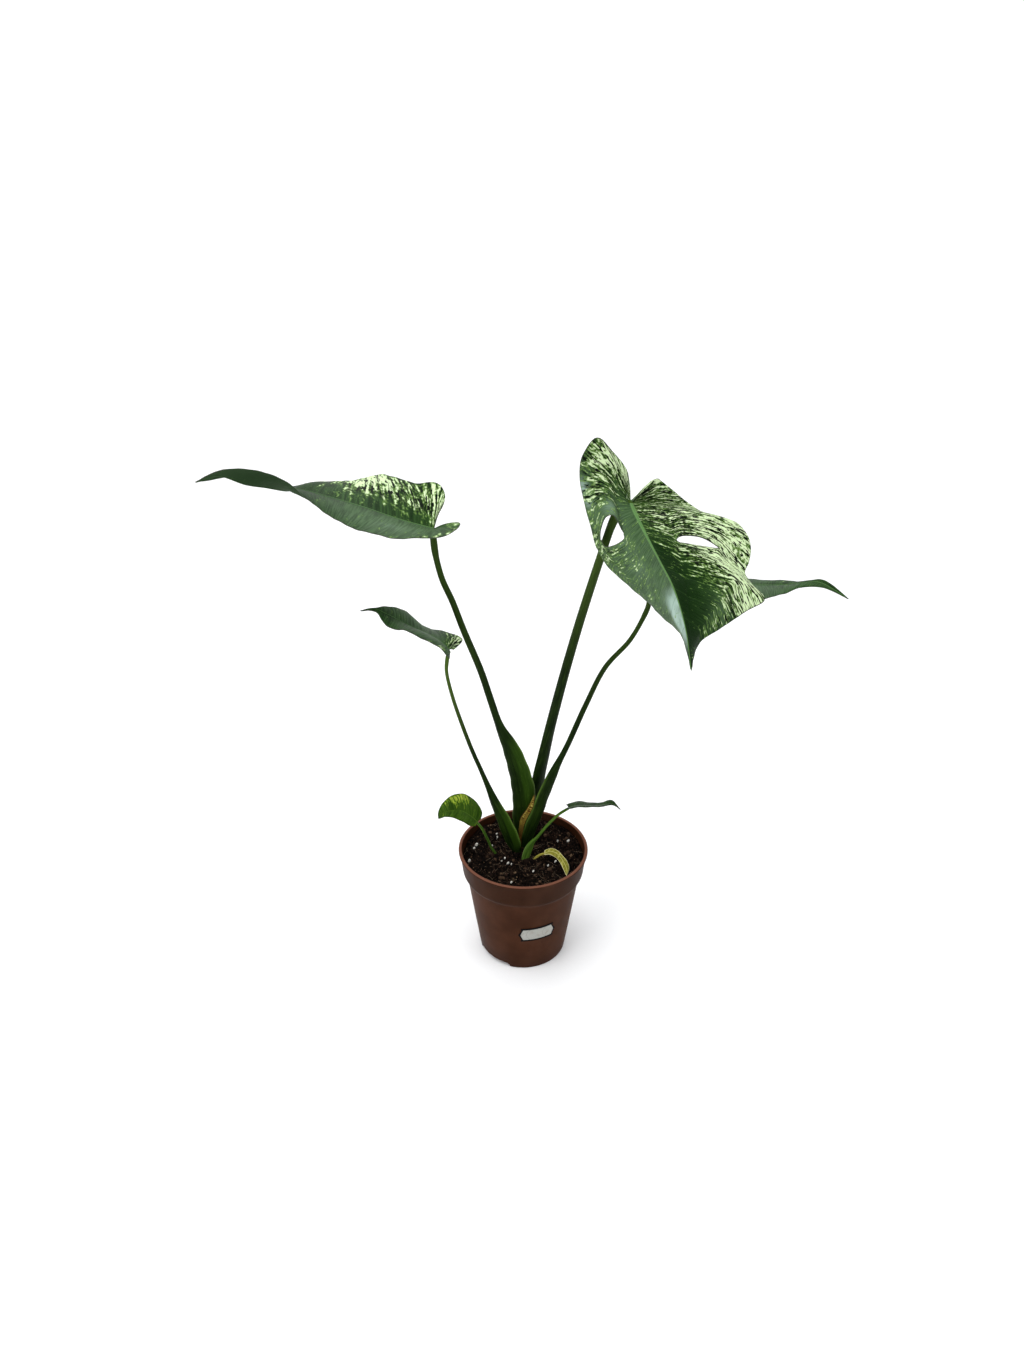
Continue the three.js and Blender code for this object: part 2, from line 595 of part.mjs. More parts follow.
// The crown is the short buried stem that every stalk springs from.
function crown() {
  const body = turned([
    [0, crownBottom], [crownRadius * 0.5, crownBottom],
    [crownRadius * 0.9, crownBottom + crownFoot], [crownRadius, crownTop - crownShoulder],
    [crownRadius, crownTop - clearance], [0, crownTop - clearance],
  ], crownSides);
  body.translate(crownCentre[0], crownCentre[1], 0);
  return body;
}

function crownHole() {
  const reach = crownRadius + clearance;
  const body = turned([
    [0, crownBottom - clearance], [reach * 0.5, crownBottom - clearance],
    [reach * 0.93, crownBottom + crownFoot - clearance], [reach, crownTop - crownShoulder],
    [reach, crownTop], [0, crownTop],
  ], crownSides);
  body.translate(crownCentre[0], crownCentre[1], 0);
  return body;
}

// How far the soil is banked up towards the wall, most of all at the back.
function bankHeight(x, y) {
  const outward = (Math.hypot(x, y) - soilBankStart) / soilBankWidth;
  const backward = THREE.MathUtils.clamp(soilBankSides + y / soilBankFall, soilBankLeast, 1);
  return soilBank * THREE.MathUtils.clamp(outward, 0, 1) * backward;
}

// The soil fills the pot to a finger's width under the rim. Its top is lumpy.
function soil(holes) {
  const bottom = footHeight + floorThickness + clearance;
  const inner = wall + clearance + soilSlack;
  const topRadius = THREE.MathUtils.mapLinear(
    soilHeight, collarHeight, potHeight, collarRadius - wall, rimRadius - lipWidth,
  );
  const body = turned([
    [0, bottom], [wallRadius(bottom) - wall - clearance, bottom],
    [waistRadius - inner, waistHeight + 1], [collarRadius - inner, collarHeight + 1 + clearance],
    [topRadius - clearance - soilSlack, soilHeight],
    ...soilRings.map((radius) => [radius, soilHeight]), [0, soilHeight],
  ], soilSides);
  const place = body.getAttribute('position');
  for (let i = 0; i < place.count; i += 1) {
    const [x, y, z] = [place.getX(i), place.getY(i), place.getZ(i)];
    if (z < soilHeight - weldDistance) continue;
    const lumps = Math.hypot(x, y) < topRadius - 1 ? soilLumps / 2 : 0;
    const broad = Math.sin(x * 0.31 + y * 0.17) + Math.sin(y * 0.43 - x * 0.11);
    place.setZ(i, z + bankHeight(x, y) + lumps * (broad + Math.sin(x * 5 + y * 9)));
  }
  return trimmed(body, holes);
}

// A small paper label with pointed ends, wrapped on the tapered wall.
function label() {
  const corner = [];
  const tilt = THREE.MathUtils.degToRad(labelTilt);
  const straightColumns = labelColumns - 2;
  for (let i = 0; i <= labelColumns; i += 1) {
    const fromMiddle = i - labelColumns / 2;
    const pointed = i === 0 || i === labelColumns;
    const step = (labelLength - 2 * labelPoint) / straightColumns;
    const u = pointed ? Math.sign(fromMiddle) * labelLength * 0.5 : fromMiddle * step;
    const reach = labelWidth * 0.5 * (pointed ? labelTip : 1);
    for (const v of [-reach, 0, reach]) {
      const height = labelHeight + v * Math.cos(tilt) + u * Math.sin(tilt);
      const radius = wallRadius(height) + clearance + labelThickness / 2;
      const turn = THREE.MathUtils.degToRad(labelTurn) + (u * Math.cos(tilt) - v * Math.sin(tilt)) / radius;
      corner.push(new THREE.Vector3(radius * Math.sin(turn), -radius * Math.cos(turn), height));
    }
  }
  const faces = [];
  for (let i = 0; i < labelColumns; i += 1) {
    for (const k of [3 * i, 3 * i + 1]) faces.push([k, k + 3, k + 4], [k, k + 4, k + 1]);
  }
  return thickened(corner, faces, () => [labelThickness / 2, labelThickness / 2]);
}

function joined(first, second) {
  return toGeometry(toSolid(first).add(toSolid(second)));
}

const group = new THREE.Group();

function add(name, geometry, color, roughness) {
  const material = new THREE.MeshStandardMaterial({ color, roughness, metalness: 0 });
  const mesh = new THREE.Mesh(geometry, material);
  mesh.name = name;
  group.add(mesh);
}

const stalks = {
  petiole_large_left: [stalkLargeLeft, bladeLargeLeft],
  petiole_large_right: [stalkLargeRight, bladeLargeRight],
  petiole_rear_right: [stalkRearRight, bladeRearRight],
  petiole_small_left: [stalkSmallLeft, bladeSmallLeft],
};
const front = {
  petiole_large_left: [stalkRearRight, stalkSmallLeft],
  petiole_large_right: [stalkLargeLeft, stalkRearRight],
  petiole_rear_right: [stalkSmallLeft],
  petiole_small_left: [],
};

add('pot', pot(), 0x6b4438, 0.55);
add('price_label', label(), 0xe6e4dc, 0.6);
add('crown', crown(), 0x6d6a3a, 0.7);
for (const [name, [shape, leaf]] of Object.entries(stalks)) {
  const neighbours = front[name].map((one) => stalk(one, clearance));
  add(name, trimmed(stalk(shape), [...neighbours, blade(leaf, clearance)]), 0x2f5220, 0.45);
}
add('blade_large_left', blade(bladeLargeLeft), 0x3f6b34, 0.4);
add('blade_large_right', blade(bladeLargeRight), 0x4c7a3c, 0.4);
add('blade_rear_right', blade(bladeRearRight), 0x3d5f3b, 0.4);
add('blade_small_left', blade(bladeSmallLeft), 0x46703a, 0.4);
add('seedling_left', joined(stalk(stalkSeedlingLeft), blade(bladeSeedlingLeft)), 0x5c8a35, 0.45);
add('seedling_right', joined(stalk(stalkSeedlingRight), blade(bladeSeedlingRight)), 0x45702f, 0.45);
add('yellow_leaf', joined(stalk(stalkYellow), blade(bladeYellow)), 0xb3ae48, 0.5);

const standing = [stalkLargeLeft, stalkLargeRight, stalkRearRight, stalkSmallLeft];
const fattened = standing.map((one) => stalk(one, clearance));
add('dried_sheath', trimmed(blade(bladeDriedSheath), fattened), 0x8a5a2c, 0.7);

const holes = [
  crownHole(), ...fattened, blade(bladeDriedSheath, clearance), stalk(stalkSeedlingLeft, clearance),
  stalk(stalkSeedlingRight, clearance), stalk(stalkYellow, clearance),
];
add('potting_soil', soil(holes), 0x2a1f18, 0.95);

export default group;
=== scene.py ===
import math

import bmesh
import bpy
import numpy as np
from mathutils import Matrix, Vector, noise


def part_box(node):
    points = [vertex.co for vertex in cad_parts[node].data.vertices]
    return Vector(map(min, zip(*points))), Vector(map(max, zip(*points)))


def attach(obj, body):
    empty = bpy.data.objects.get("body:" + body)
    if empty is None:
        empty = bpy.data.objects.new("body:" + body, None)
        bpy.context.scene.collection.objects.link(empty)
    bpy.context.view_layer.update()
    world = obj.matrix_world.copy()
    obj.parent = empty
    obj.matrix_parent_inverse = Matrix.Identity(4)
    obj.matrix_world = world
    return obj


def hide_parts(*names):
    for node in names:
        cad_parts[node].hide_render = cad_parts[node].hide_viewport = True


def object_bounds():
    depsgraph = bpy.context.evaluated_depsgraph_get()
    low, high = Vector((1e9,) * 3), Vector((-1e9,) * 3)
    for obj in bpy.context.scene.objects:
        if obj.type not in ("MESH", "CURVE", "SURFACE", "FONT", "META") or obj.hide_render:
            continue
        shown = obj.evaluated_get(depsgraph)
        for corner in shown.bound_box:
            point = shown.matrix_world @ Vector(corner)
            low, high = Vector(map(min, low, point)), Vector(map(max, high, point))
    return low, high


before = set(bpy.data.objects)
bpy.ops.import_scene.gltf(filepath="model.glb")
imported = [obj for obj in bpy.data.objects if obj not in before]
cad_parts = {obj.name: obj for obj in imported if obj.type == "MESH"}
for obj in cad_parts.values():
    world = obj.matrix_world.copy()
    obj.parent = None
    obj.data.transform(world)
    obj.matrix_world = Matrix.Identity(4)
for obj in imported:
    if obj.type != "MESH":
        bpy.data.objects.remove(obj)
cad_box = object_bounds()


# The pot is one moulding of thin brown plastic, spun round its profile: a tapered wall, a
# flared collar under a rolled lip, and a foot ring with two gaps. Eight drain holes go
# through its floor.
MM = 0.001

pot_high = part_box("pot")[1]
RIM_RADIUS = pot_high.x / MM
POT_HEIGHT = pot_high.z / MM
FOOT_HEIGHT = 4
FLOOR_TOP = 5.6
BOTTOM_RADIUS = 40.6
FOOT_INNER_RADIUS = 36.5
WAIST_RADIUS = 52.6
WAIST_HEIGHT = 83.5
COLLAR_RADIUS = 56.3
COLLAR_HEIGHT = 88.5
LIP_FOOT_RADIUS = 58.7
LIP_HEIGHT = 109.5
LIP_WIDTH = 2.8
WALL = 1.4
PAD_RADIUS = 8
POT_SIDES = 168
# The foot ring's gaps, in degrees round the pot, and the slope at their ends.
FIRST_GAP = -165
GAP_WIDTH = 57
GAP_SLOPE = 2.5
DRAINS = 8
DRAIN_CIRCLE = 25
DRAIN_RADIUS = 3
DRAIN_SIDES = 24
DRAIN_DEPTH = 10
DRAIN_TURN = 22.5
# Heights where the plastic's colour changes: darker at the foot, a darker collar, and a
# painted highlight along the rim's top, where the light falls on it.
FOOT_DARKENING_HEIGHT = 30
COLLAR_SHADE = (83, 87.5)
RIM_HIGHLIGHT_HEIGHTS = (111, 111.8)


class Wire:
    """One output of a node. A sum written on it adds its Math node to the same tree."""

    def __init__(self, tree, socket=None):
        self.tree = tree
        self.socket = socket

    def node(self, kind, settings=None, values=None, output=0):
        made = self.tree.nodes.new(kind)
        for name, setting in (settings or {}).items():
            if name != "stops":
                setattr(made, name, setting)
                continue
            ramp = made.color_ramp
            while len(ramp.elements) < len(setting):
                ramp.elements.new(1)
            for stop, (place, color) in zip(ramp.elements, setting):
                stop.position = place
                stop.color = tone(color)
        for name, value in (values or {}).items():
            if isinstance(value, Wire):
                self.tree.links.new(value.socket, made.inputs[name])
            else:
                made.inputs[name].default_value = value
        return Wire(self.tree, made.outputs[output] if made.outputs else None)

    def other(self, output):
        return Wire(self.tree, self.socket.node.outputs[output])

    def math(self, operation, *values):
        return self.node("ShaderNodeMath", {"operation": operation}, dict(enumerate(values)))

    def __add__(self, other):
        return self.math("ADD", self, other)

    def __radd__(self, other):
        return self.math("ADD", other, self)

    def __sub__(self, other):
        return self.math("SUBTRACT", self, other)

    def __rsub__(self, other):
        return self.math("SUBTRACT", other, self)

    def __mul__(self, other):
        return self.math("MULTIPLY", self, other)

    def __rmul__(self, other):
        return self.math("MULTIPLY", other, self)

    def rises(self, low, high):
        """0 below low, 1 above high, and smooth between them."""
        settings = {"interpolation_type": "SMOOTHSTEP"}
        return self.node("ShaderNodeMapRange", settings, {0: self, 1: low, 2: high})

    def tints(self, before, after):
        """The colour before where this mask is 0, and the colour after where it is 1."""
        values = {0: self, 6: tone(before), 7: tone(after)}
        return self.node("ShaderNodeMix", {"data_type": "RGBA"}, values, output=2)

    def coated(self, *coats):
        """This colour under coats, each a mask and the colour it takes where the mask is 1."""
        color = self
        for mask, after in coats:
            color = mask.tints(color, after)
        return color

    def part(self, axis):
        return self.node("ShaderNodeSeparateXYZ", None, {0: self}, axis)

    def vector(self, operation, other):
        return self.node("ShaderNodeVectorMath", {"operation": operation}, {0: self, 1: other})

    def scaled(self, *factors):
        """This place, stretched by a factor along each axis."""
        return self.vector("MULTIPLY", factors)

    def sized(self, factor):
        """This vector, made longer by one factor."""
        settings = {"operation": "SCALE"}
        return self.node("ShaderNodeVectorMath", settings, {0: self, "Scale": factor})

    def cloud(self, scale, detail=3, output="Fac", **values):
        values = {"Vector": self, "Scale": scale, "Detail": detail, **values}
        return self.node("ShaderNodeTexNoise", None, values, output)


def tone(color):
    """A colour as the eye reads it, red, green and blue up to 255, as the shader needs it."""
    if isinstance(color, Wire):
        return color
    return (*(((c / 255 + 0.055) / 1.055) ** 2.4 for c in color), 1)


def new_finish(name):
    material = bpy.data.materials.new(name)
    material.use_nodes = True
    material.node_tree.nodes.clear()
    return material, Wire(material.node_tree)


def object_place(start):
    return start.node("ShaderNodeTexCoord", output="Object")


def end_finish(start, color, roughness, height, depth, **constants):
    """Puts the colour, the roughness and a height in metres times depth on the material."""
    normal = start.node("ShaderNodeBump", None, {"Height": height, "Distance": depth})
    values = {"Base Color": color, "Roughness": roughness, "Normal": normal}
    values.update({name.replace("_", " "): value for name, value in constants.items()})
    shader = start.node("ShaderNodeBsdfPrincipled", None, values)
    start.node("ShaderNodeOutputMaterial", None, {"Surface": shader})


def plastic_finish():
    material, start = new_finish("pot_plastic")
    place = object_place(start)
    height = place.part("Z")
    mottle = place.cloud(38, 4)
    dust = place.scaled(1, 1, 0.35).cloud(22, 5).rises(0.5, 0.78)
    specks = place.cloud(420, 2).rises(0.71, 0.78) * place.cloud(30, 1).rises(0.5, 0.7)
    # The plastic is painted darker towards the foot.
    foot_darkening = 1 - height.rises(0, FOOT_DARKENING_HEIGHT * MM)
    # The rim's top is painted lighter, a painted highlight where the light falls on it.
    collar, rim_highlight = (height.rises(a * MM, b * MM) for a, b in (COLLAR_SHADE, RIM_HIGHLIGHT_HEIGHTS))
    color = mottle.rises(0.3, 0.7).tints((54, 29, 15), (68, 39, 24)).coated(
        (collar * 0.6, (38, 20, 9)), (dust * 0.3, (86, 60, 48)), (rim_highlight, (108, 70, 55)),
        (foot_darkening * 0.35, (48, 27, 20)), (specks, (30, 18, 14)),
    )
    grain = place.cloud(900, 3) * 0.5 + place.scaled(1, 1, 0.2).cloud(260, 2) * 0.5
    roughness = 0.42 + dust * 0.2 + mottle * 0.08
    end_finish(start, color, roughness, grain, 0.00012, Specular_IOR_Level=0.03)
    return material


def filleted(corners, parts=5):
    """An outline whose corners with a third number are rounded by that radius."""
    outline = []
    for k, (radius, height, *fillet) in enumerate(corners):
        corner = np.array([radius, height], float)
        if not fillet:
            outline.append(corner)
            continue
        before = np.array(corners[k - 1][:2], float) - corner
        after = np.array(corners[k + 1][:2], float) - corner
        start = corner + before * min(fillet[0] / np.linalg.norm(before), 0.5)
        end = corner + after * min(fillet[0] / np.linalg.norm(after), 0.5)
        for t in np.linspace(0, 1, parts):
            outline.append((1 - t) ** 2 * start + 2 * t * (1 - t) * corner + t**2 * end)
    return np.array(outline)


def wall_radius(height):
    return BOTTOM_RADIUS + (WAIST_RADIUS - BOTTOM_RADIUS) * height / WAIST_HEIGHT


def new_tree(name, inputs):
    """A Geometry Nodes tree with a geometry in and out, and the named inputs."""
    tree = bpy.data.node_groups.new(name, "GeometryNodeTree")
    tree.interface.new_socket("Geometry", in_out="INPUT", socket_type="NodeSocketGeometry")
    for label, kind in inputs.items():
        tree.interface.new_socket(label, in_out="INPUT", socket_type="NodeSocket" + kind)
    tree.interface.new_socket("Geometry", in_out="OUTPUT", socket_type="NodeSocketGeometry")
    group = Wire(tree).node("NodeGroupInput")
    return tree, group


def grown(piece, tree, values):
    """The piece as the tree makes it, as a plain mesh."""
    modifier = piece.modifiers.new("growth", "NODES")
    modifier.node_group = tree
    for item in tree.interface.items_tree:
        if item.in_out == "INPUT" and item.name in values:
            modifier[item.identifier] = values[item.name]
    bpy.context.view_layer.update()
    seen = piece.evaluated_get(bpy.context.evaluated_depsgraph_get())
    mesh = bpy.data.meshes.new_from_object(seen)
    piece.modifiers.clear()
    piece.data = mesh
    return piece


def new_piece(name, corners, faces=(), edges=(), scale=MM):
    mesh = bpy.data.meshes.new(name)
    mesh.from_pydata((np.asarray(corners, float) * scale).tolist(), edges, faces)
    piece = bpy.data.objects.new(name, mesh)
    bpy.context.scene.collection.objects.link(piece)
    return piece


def fixed(piece, node, finish=None):
    """The piece stands for its CAD node and fills the slot with its finish."""
    if finish:
        piece.data.materials.append(finish)
    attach(piece, "root")
    if node:
        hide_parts(node)


def end_tree(group, shape):
    """Gives the shape the material of the input Finish and closes the tree."""
    shape = shape.node("GeometryNodeSetMaterial", None, {
        "Geometry": shape, "Material": group.other("Finish"),
    })
    shape.node("NodeGroupOutput", None, {0: shape})


def pot_tree():
    """Spins the profile round the rim, lifts the foot ring's gaps and cuts the drain holes."""
    inputs = {
        "Rim Radius": "Float", "Sides": "Int", "Foot Height": "Float", "First Gap": "Float",
        "Gap Width": "Float", "Drain Circle": "Float", "Drain Radius": "Float", "Drains": "Int",
        "Finish": "Material",
    }
    tree, group = new_tree("pot_moulding", inputs)
    ring = group.node("GeometryNodeCurvePrimitiveCircle", None, {
        "Resolution": group.other("Sides"), "Radius": group.other("Rim Radius"),
    })
    profile = group.node("GeometryNodeMeshToCurve", None, {0: group.other("Geometry")})
    spun = group.node("GeometryNodeCurveToMesh", None, {"Curve": ring, "Profile Curve": profile})
    body = spun.node("GeometryNodeMergeByDistance", None, {"Geometry": spun, "Distance": 1e-5})

    place = group.node("GeometryNodeInputPosition")
    x, y, z = (place.part(axis) for axis in "XYZ")
    turn = x.math("ARCTAN2", y, x) - group.other("First Gap")
    turn = x.math("FLOORED_MODULO", turn, math.pi)
    ramp = math.radians(GAP_SLOPE)
    opens = turn.rises(0, ramp)
    closes = turn.rises(group.other("Gap Width") - ramp, group.other("Gap Width"))
    foot = group.other("Foot Height")
    wide = x.math("SQRT", x * x + y * y)
    lift = (opens - closes) * x.math("MAXIMUM", foot - z, 0.0)
    lift = lift * wide.rises((PAD_RADIUS + 4) * MM, (PAD_RADIUS + 5) * MM)
    offset = lift.node("ShaderNodeCombineXYZ", None, {"Z": lift})
    body = body.node("GeometryNodeSetPosition", None, {"Geometry": body, "Offset": offset})

    hole = group.node("GeometryNodeMeshCylinder", None, {
        "Vertices": DRAIN_SIDES, "Radius": group.other("Drain Radius"), "Depth": DRAIN_DEPTH * MM,
    })
    circle = group.node("GeometryNodeMeshCircle", None, {
        "Vertices": group.other("Drains"), "Radius": group.other("Drain Circle"),
    })
    circle = circle.node("GeometryNodeTransform", None, {
        "Geometry": circle, "Translation": (0, 0, FLOOR_TOP * MM),
        "Rotation": (0, 0, math.radians(DRAIN_TURN)),
    })
    holes = circle.node("GeometryNodeInstanceOnPoints", None, {"Points": circle, "Instance": hole})
    holes = holes.node("GeometryNodeRealizeInstances", None, {"Geometry": holes})
    body = body.node("GeometryNodeMeshBoolean", {"operation": "DIFFERENCE", "solver": "EXACT"}, {
        "Mesh 1": body, "Mesh 2": holes,
    })
    end_tree(group, body.node("GeometryNodeRealizeInstances", None, {"Geometry": body}))
    return tree


profile = filleted([
    (0, 0), (PAD_RADIUS, 0, 0.5), (PAD_RADIUS + 0.6, FOOT_HEIGHT, 0.5),
    (FOOT_INNER_RADIUS - 0.4, FOOT_HEIGHT, 0.5), (FOOT_INNER_RADIUS, 0, 0.5),
    (BOTTOM_RADIUS - 0.2, 0, 1.2), (wall_radius(6), 6), (wall_radius(40), 40),
    (WAIST_RADIUS, WAIST_HEIGHT, 2), (COLLAR_RADIUS, COLLAR_HEIGHT, 2),
    (LIP_FOOT_RADIUS, LIP_HEIGHT - 0.5, 0.4), (RIM_RADIUS, LIP_HEIGHT, 0.6),
    (RIM_RADIUS, POT_HEIGHT, 1), (RIM_RADIUS - LIP_WIDTH, POT_HEIGHT, 1),
    (COLLAR_RADIUS - WALL, COLLAR_HEIGHT + 1, 2), (WAIST_RADIUS - WALL, WAIST_HEIGHT + 1, 2),
    (wall_radius(FLOOR_TOP) - WALL, FLOOR_TOP, 1.5), (0, FLOOR_TOP),
])
outline = [(radius - RIM_RADIUS, -height, 0) for radius, height in profile]
links = [(k, k + 1) for k in range(len(outline) - 1)]
pot = grown(new_piece("pot_body", outline, edges=links), pot_tree(), {
    "Rim Radius": RIM_RADIUS * MM, "Sides": POT_SIDES, "Foot Height": FOOT_HEIGHT * MM,
    "First Gap": math.radians(FIRST_GAP), "Gap Width": math.radians(GAP_WIDTH),
    "Drain Circle": DRAIN_CIRCLE * MM, "Drain Radius": DRAIN_RADIUS * MM, "Drains": DRAINS,
    "Finish": plastic_finish(),
})


def smoothed(piece, limit=30):
    """Shades the piece smooth up to an angle between faces, in degrees."""
    piece.data.shade_smooth()
    piece.data.set_sharp_from_angle(angle=math.radians(limit))


smoothed(pot, 35)
fixed(pot, "pot")


# The label is a small sticker of coated paper from a label gun, with clipped ends. It is
# pressed onto the wall, lifts a hair at its ends, and is left blank. A dark band round its
# edge is a painted shadow.
LABEL_LENGTH = 36
LABEL_WIDTH = 17
LABEL_THICKNESS = 0.3
LABEL_HEIGHT = 47.5
LABEL_TURN = math.radians(16)
LABEL_TILT = math.radians(2.5)
LABEL_POINT = 3.2
EDGE_SHADOW_WIDTH = 2.1
LABEL_STAND = 0.12
LABEL_CURL = 0.35
CURL_LENGTH = 16
CURL_START = 0.82
SLIT_PLACE = 7.5
# How far the pointed end draws back, from the middle of the label to its long edges.
LABEL_END = ([0, 0.6, 0.74, 0.88, 1], [0, 0.84, 1, 0.7, 0.8])


def paper_finish():
    material, start = new_finish("label_paper")
    place = start.node("ShaderNodeUVMap", {"uv_map": "sticker"})
    u, v = place.part("X"), place.part("Y")
    end = LABEL_LENGTH / 2 - LABEL_POINT * u.math("ABSOLUTE", v) * (2 / LABEL_WIDTH)
    edge = u.math("MINIMUM", end - u.math("ABSOLUTE", u), LABEL_WIDTH / 2 - v.math("ABSOLUTE", v))
    wobble = place.cloud(0.9, 3) * 0.5
    # A dark band round the edge: a painted shadow at the sticker's edge.
    painted_edge_shadow = 1 - (edge + wobble).rises(EDGE_SHADOW_WIDTH, EDGE_SHADOW_WIDTH + 0.4)
    fibres = place.scaled(1, 2.2, 1).cloud(1.4, 4)
    stain = place.cloud(0.16, 3).rises(0.5, 0.75)
    # The slits are cut lines, darkened with painted shade in the cuts.
    slits = u.math("ABSOLUTE", u + 3 * u.math("COSINE", v * 0.25)) - SLIT_PLACE
    slits = 1 - u.math("ABSOLUTE", slits).rises(0.08, 0.2)
    color = fibres.rises(0.25, 0.75).tints((150, 150, 143), (176, 176, 170)).coated(
        (stain * 0.5, (134, 128, 116)), (slits * 0.6, (110, 108, 100)), (painted_edge_shadow, (4, 2, 2)),
    )
    end_finish(start, color, 0.5 + fibres * 0.2, fibres + slits * -1.5, 0.00004,
               Specular_IOR_Level=0.05)
    return material


def label_piece():
    """A thin sheet bent round the wall, with its flat place kept for the finish."""
    columns, rows = 48, 32
    corners, places = [], []
    for face in (1, 0):
        for i in range(columns + 1):
            for k in range(rows + 1):
                v = (k / rows - 0.5) * LABEL_WIDTH
                drawn_back = LABEL_POINT * np.interp(abs(2 * v / LABEL_WIDTH), *LABEL_END)
                reach = LABEL_LENGTH / 2 - drawn_back
                u = (2 * i / columns - 1) * reach
                height = LABEL_HEIGHT + v * math.cos(LABEL_TILT) + u * math.sin(LABEL_TILT)
                curl = LABEL_CURL * max(0, abs(u) / CURL_LENGTH - CURL_START)
                radius = wall_radius(height) + LABEL_STAND + curl + face * LABEL_THICKNESS
                along = u * math.cos(LABEL_TILT) - v * math.sin(LABEL_TILT)
                turn = LABEL_TURN + along / radius
                corners.append((radius * math.sin(turn), -radius * math.cos(turn), height))
                places.append((u, v))
    count = (columns + 1) * (rows + 1)
    faces = []
    for i in range(columns):
        for k in range(rows):
            a = i * (rows + 1) + k
            loop = (a, a + rows + 1, a + rows + 2, a + 1)
            faces.append(loop)
            faces.append(tuple(corner + count for corner in reversed(loop)))
    rim = [i * (rows + 1) for i in range(columns + 1)]
    rim += [columns * (rows + 1) + k for k in range(1, rows + 1)]
    rim += [i * (rows + 1) + rows for i in range(columns - 1, -1, -1)]
    rim += [k for k in range(rows - 1, 0, -1)]
    for a, b in zip(rim, rim[1:] + rim[:1]):
        faces.append((b, a, a + count, b + count))
    piece = new_piece("price_sticker", corners, faces)
    sticker = piece.data.uv_layers.new(name="sticker")
    for loop in piece.data.loops:
        sticker.data[loop.index].uv = places[loop.vertex_index]
    piece.data.materials.append(paper_finish())
    return piece


label = label_piece()
smoothed(label, 40)
fixed(label, "price_label")


# The potting soil is one ball of dark peat that fills the pot to a finger's width under the
# rim. Its top is loose: peat crumbs, white perlite grains and fine root fibres lie on it.
SOIL_HEIGHT = 101
SOIL_LUMPS = 1.1
SOIL_TOP_RADIUS = 55.6
SOIL_BANK = 5.5
SOIL_BANK_START = 30
SOIL_BANK_WIDTH = 24
SOIL_EDGE_DROP = 13
SOIL_CLEARANCE = 0.5
STREW_RADIUS = 53.5
STREW_SLOPE = 0.3
SOIL_SIDES = 144
SOIL_RINGS = 60
# Perlite grains that lie where the eye finds them first: across, back from the middle, size.
PERLITE = [
    (-44, 13, 2.6), (-46, 8, 1.7), (-50, -11, 2.3), (-14, -10, 2.3), (-17, -4, 1.4),
    (9, -23, 1.5), (30, -9, 1.7), (23, -14, 1.5), (43, 19, 2.1), (33, 20, 1.6), (-25, 25, 2),
    (-25, 31, 1.5), (-11, -41, 1.6), (-29, 15, 1.4), (-20, -8, 1.1), (-11, -14, 1.2),
]


def soil_height(x, y):
    """The soil's top at a place, in millimetres: broad waves, lumps and crumbs."""
    broad = math.sin(x * 0.31 + y * 0.17) + math.sin(y * 0.43 - x * 0.11)
    place = Vector((x, y, 0))
    lumps = noise.fractal(place * 0.16, 0.9, 2, 4)
    crumbs = noise.cell(place * 0.5) - 0.5 + noise.noise(place * 0.9)
    level = SOIL_HEIGHT + SOIL_LUMPS * (0.4 * broad + 1.3 * lumps + 0.35 * crumbs)
    wide = math.hypot(x, y)
    bank = min(max((wide - SOIL_BANK_START) / SOIL_BANK_WIDTH, 0), 1)
    level += SOIL_BANK * bank * min(max(0.55 + y / 80, 0.1), 1)
    return level - SOIL_EDGE_DROP * max(0, wide / SOIL_TOP_RADIUS - 0.9)


def soil_finish():
    material, start = new_finish("soil_peat")
    place = object_place(start)
    crumb = place.node("ShaderNodeTexVoronoi", None, {"Vector": place, "Scale": 650}, "Distance")
    fine = place.cloud(1500, 4)
    broad = place.cloud(90, 3)
    # The gaps between crumbs are painted near black: painted shade in the cracks.
    color = fine.rises(0.35, 0.7).tints((6, 3, 2), (44, 30, 22)).coated(
        (broad.rises(0.52, 0.74) * 0.6, (70, 50, 36)), (crumb.rises(0.25, 0.6), (3, 2, 1)),
    )
    height = fine * 0.6 + (1 - crumb)
    end_finish(start, color, 0.88 + fine * 0.1, height, 0.0009, Specular_IOR_Level=0.03)
    return material


def from_mesh(start, name, output="Fac"):
    """What the mesh keeps under that name for each of its corners."""
    return start.node("ShaderNodeAttribute", {"attribute_name": name}, output=output)


def crumb_finish():
    material, start = new_finish("peat_crumb")
    place = object_place(start)
    shade = from_mesh(start, "shade")
    fine = place.cloud(1700, 4)
    stops = [
        (0, (5, 3, 2)), (0.45, (20, 13, 10)), (0.75, (44, 31, 24)),
        (0.93, (78, 60, 46)), (1, (118, 96, 74)),
    ]
    color = shade.node("ShaderNodeValToRGB", {"stops": stops}, {"Fac": shade})
    color = (fine.rises(0.45, 0.75) * 0.6).tints(color, (5, 3, 2))
    end_finish(start, color, 0.85 + fine * 0.1, fine, 0.0005, Specular_IOR_Level=0.04)
    return material


def perlite_finish():
    material, start = new_finish("perlite")
    place = object_place(start)
    pits = place.node("ShaderNodeTexVoronoi", None, {"Vector": place, "Scale": 2600}, "Distance")
    dirt = place.cloud(420, 4).rises(0.45, 0.75)
    color = (dirt * 0.55).tints((228, 226, 216), (126, 106, 82))
    end_finish(start, color, 0.8 + pits * 0.1, pits, 0.0003, Specular_IOR_Level=0.3)
    return material


def fibre_finish():
    material, start = new_finish("root_fibre")
    place = object_place(start)
    bands = place.cloud(900, 3)
    color = bands.rises(0.35, 0.65).tints((60, 43, 30), (128, 108, 82))
    end_finish(start, color, 0.7 + bands * 0.1, bands, 0.0001)
    return material


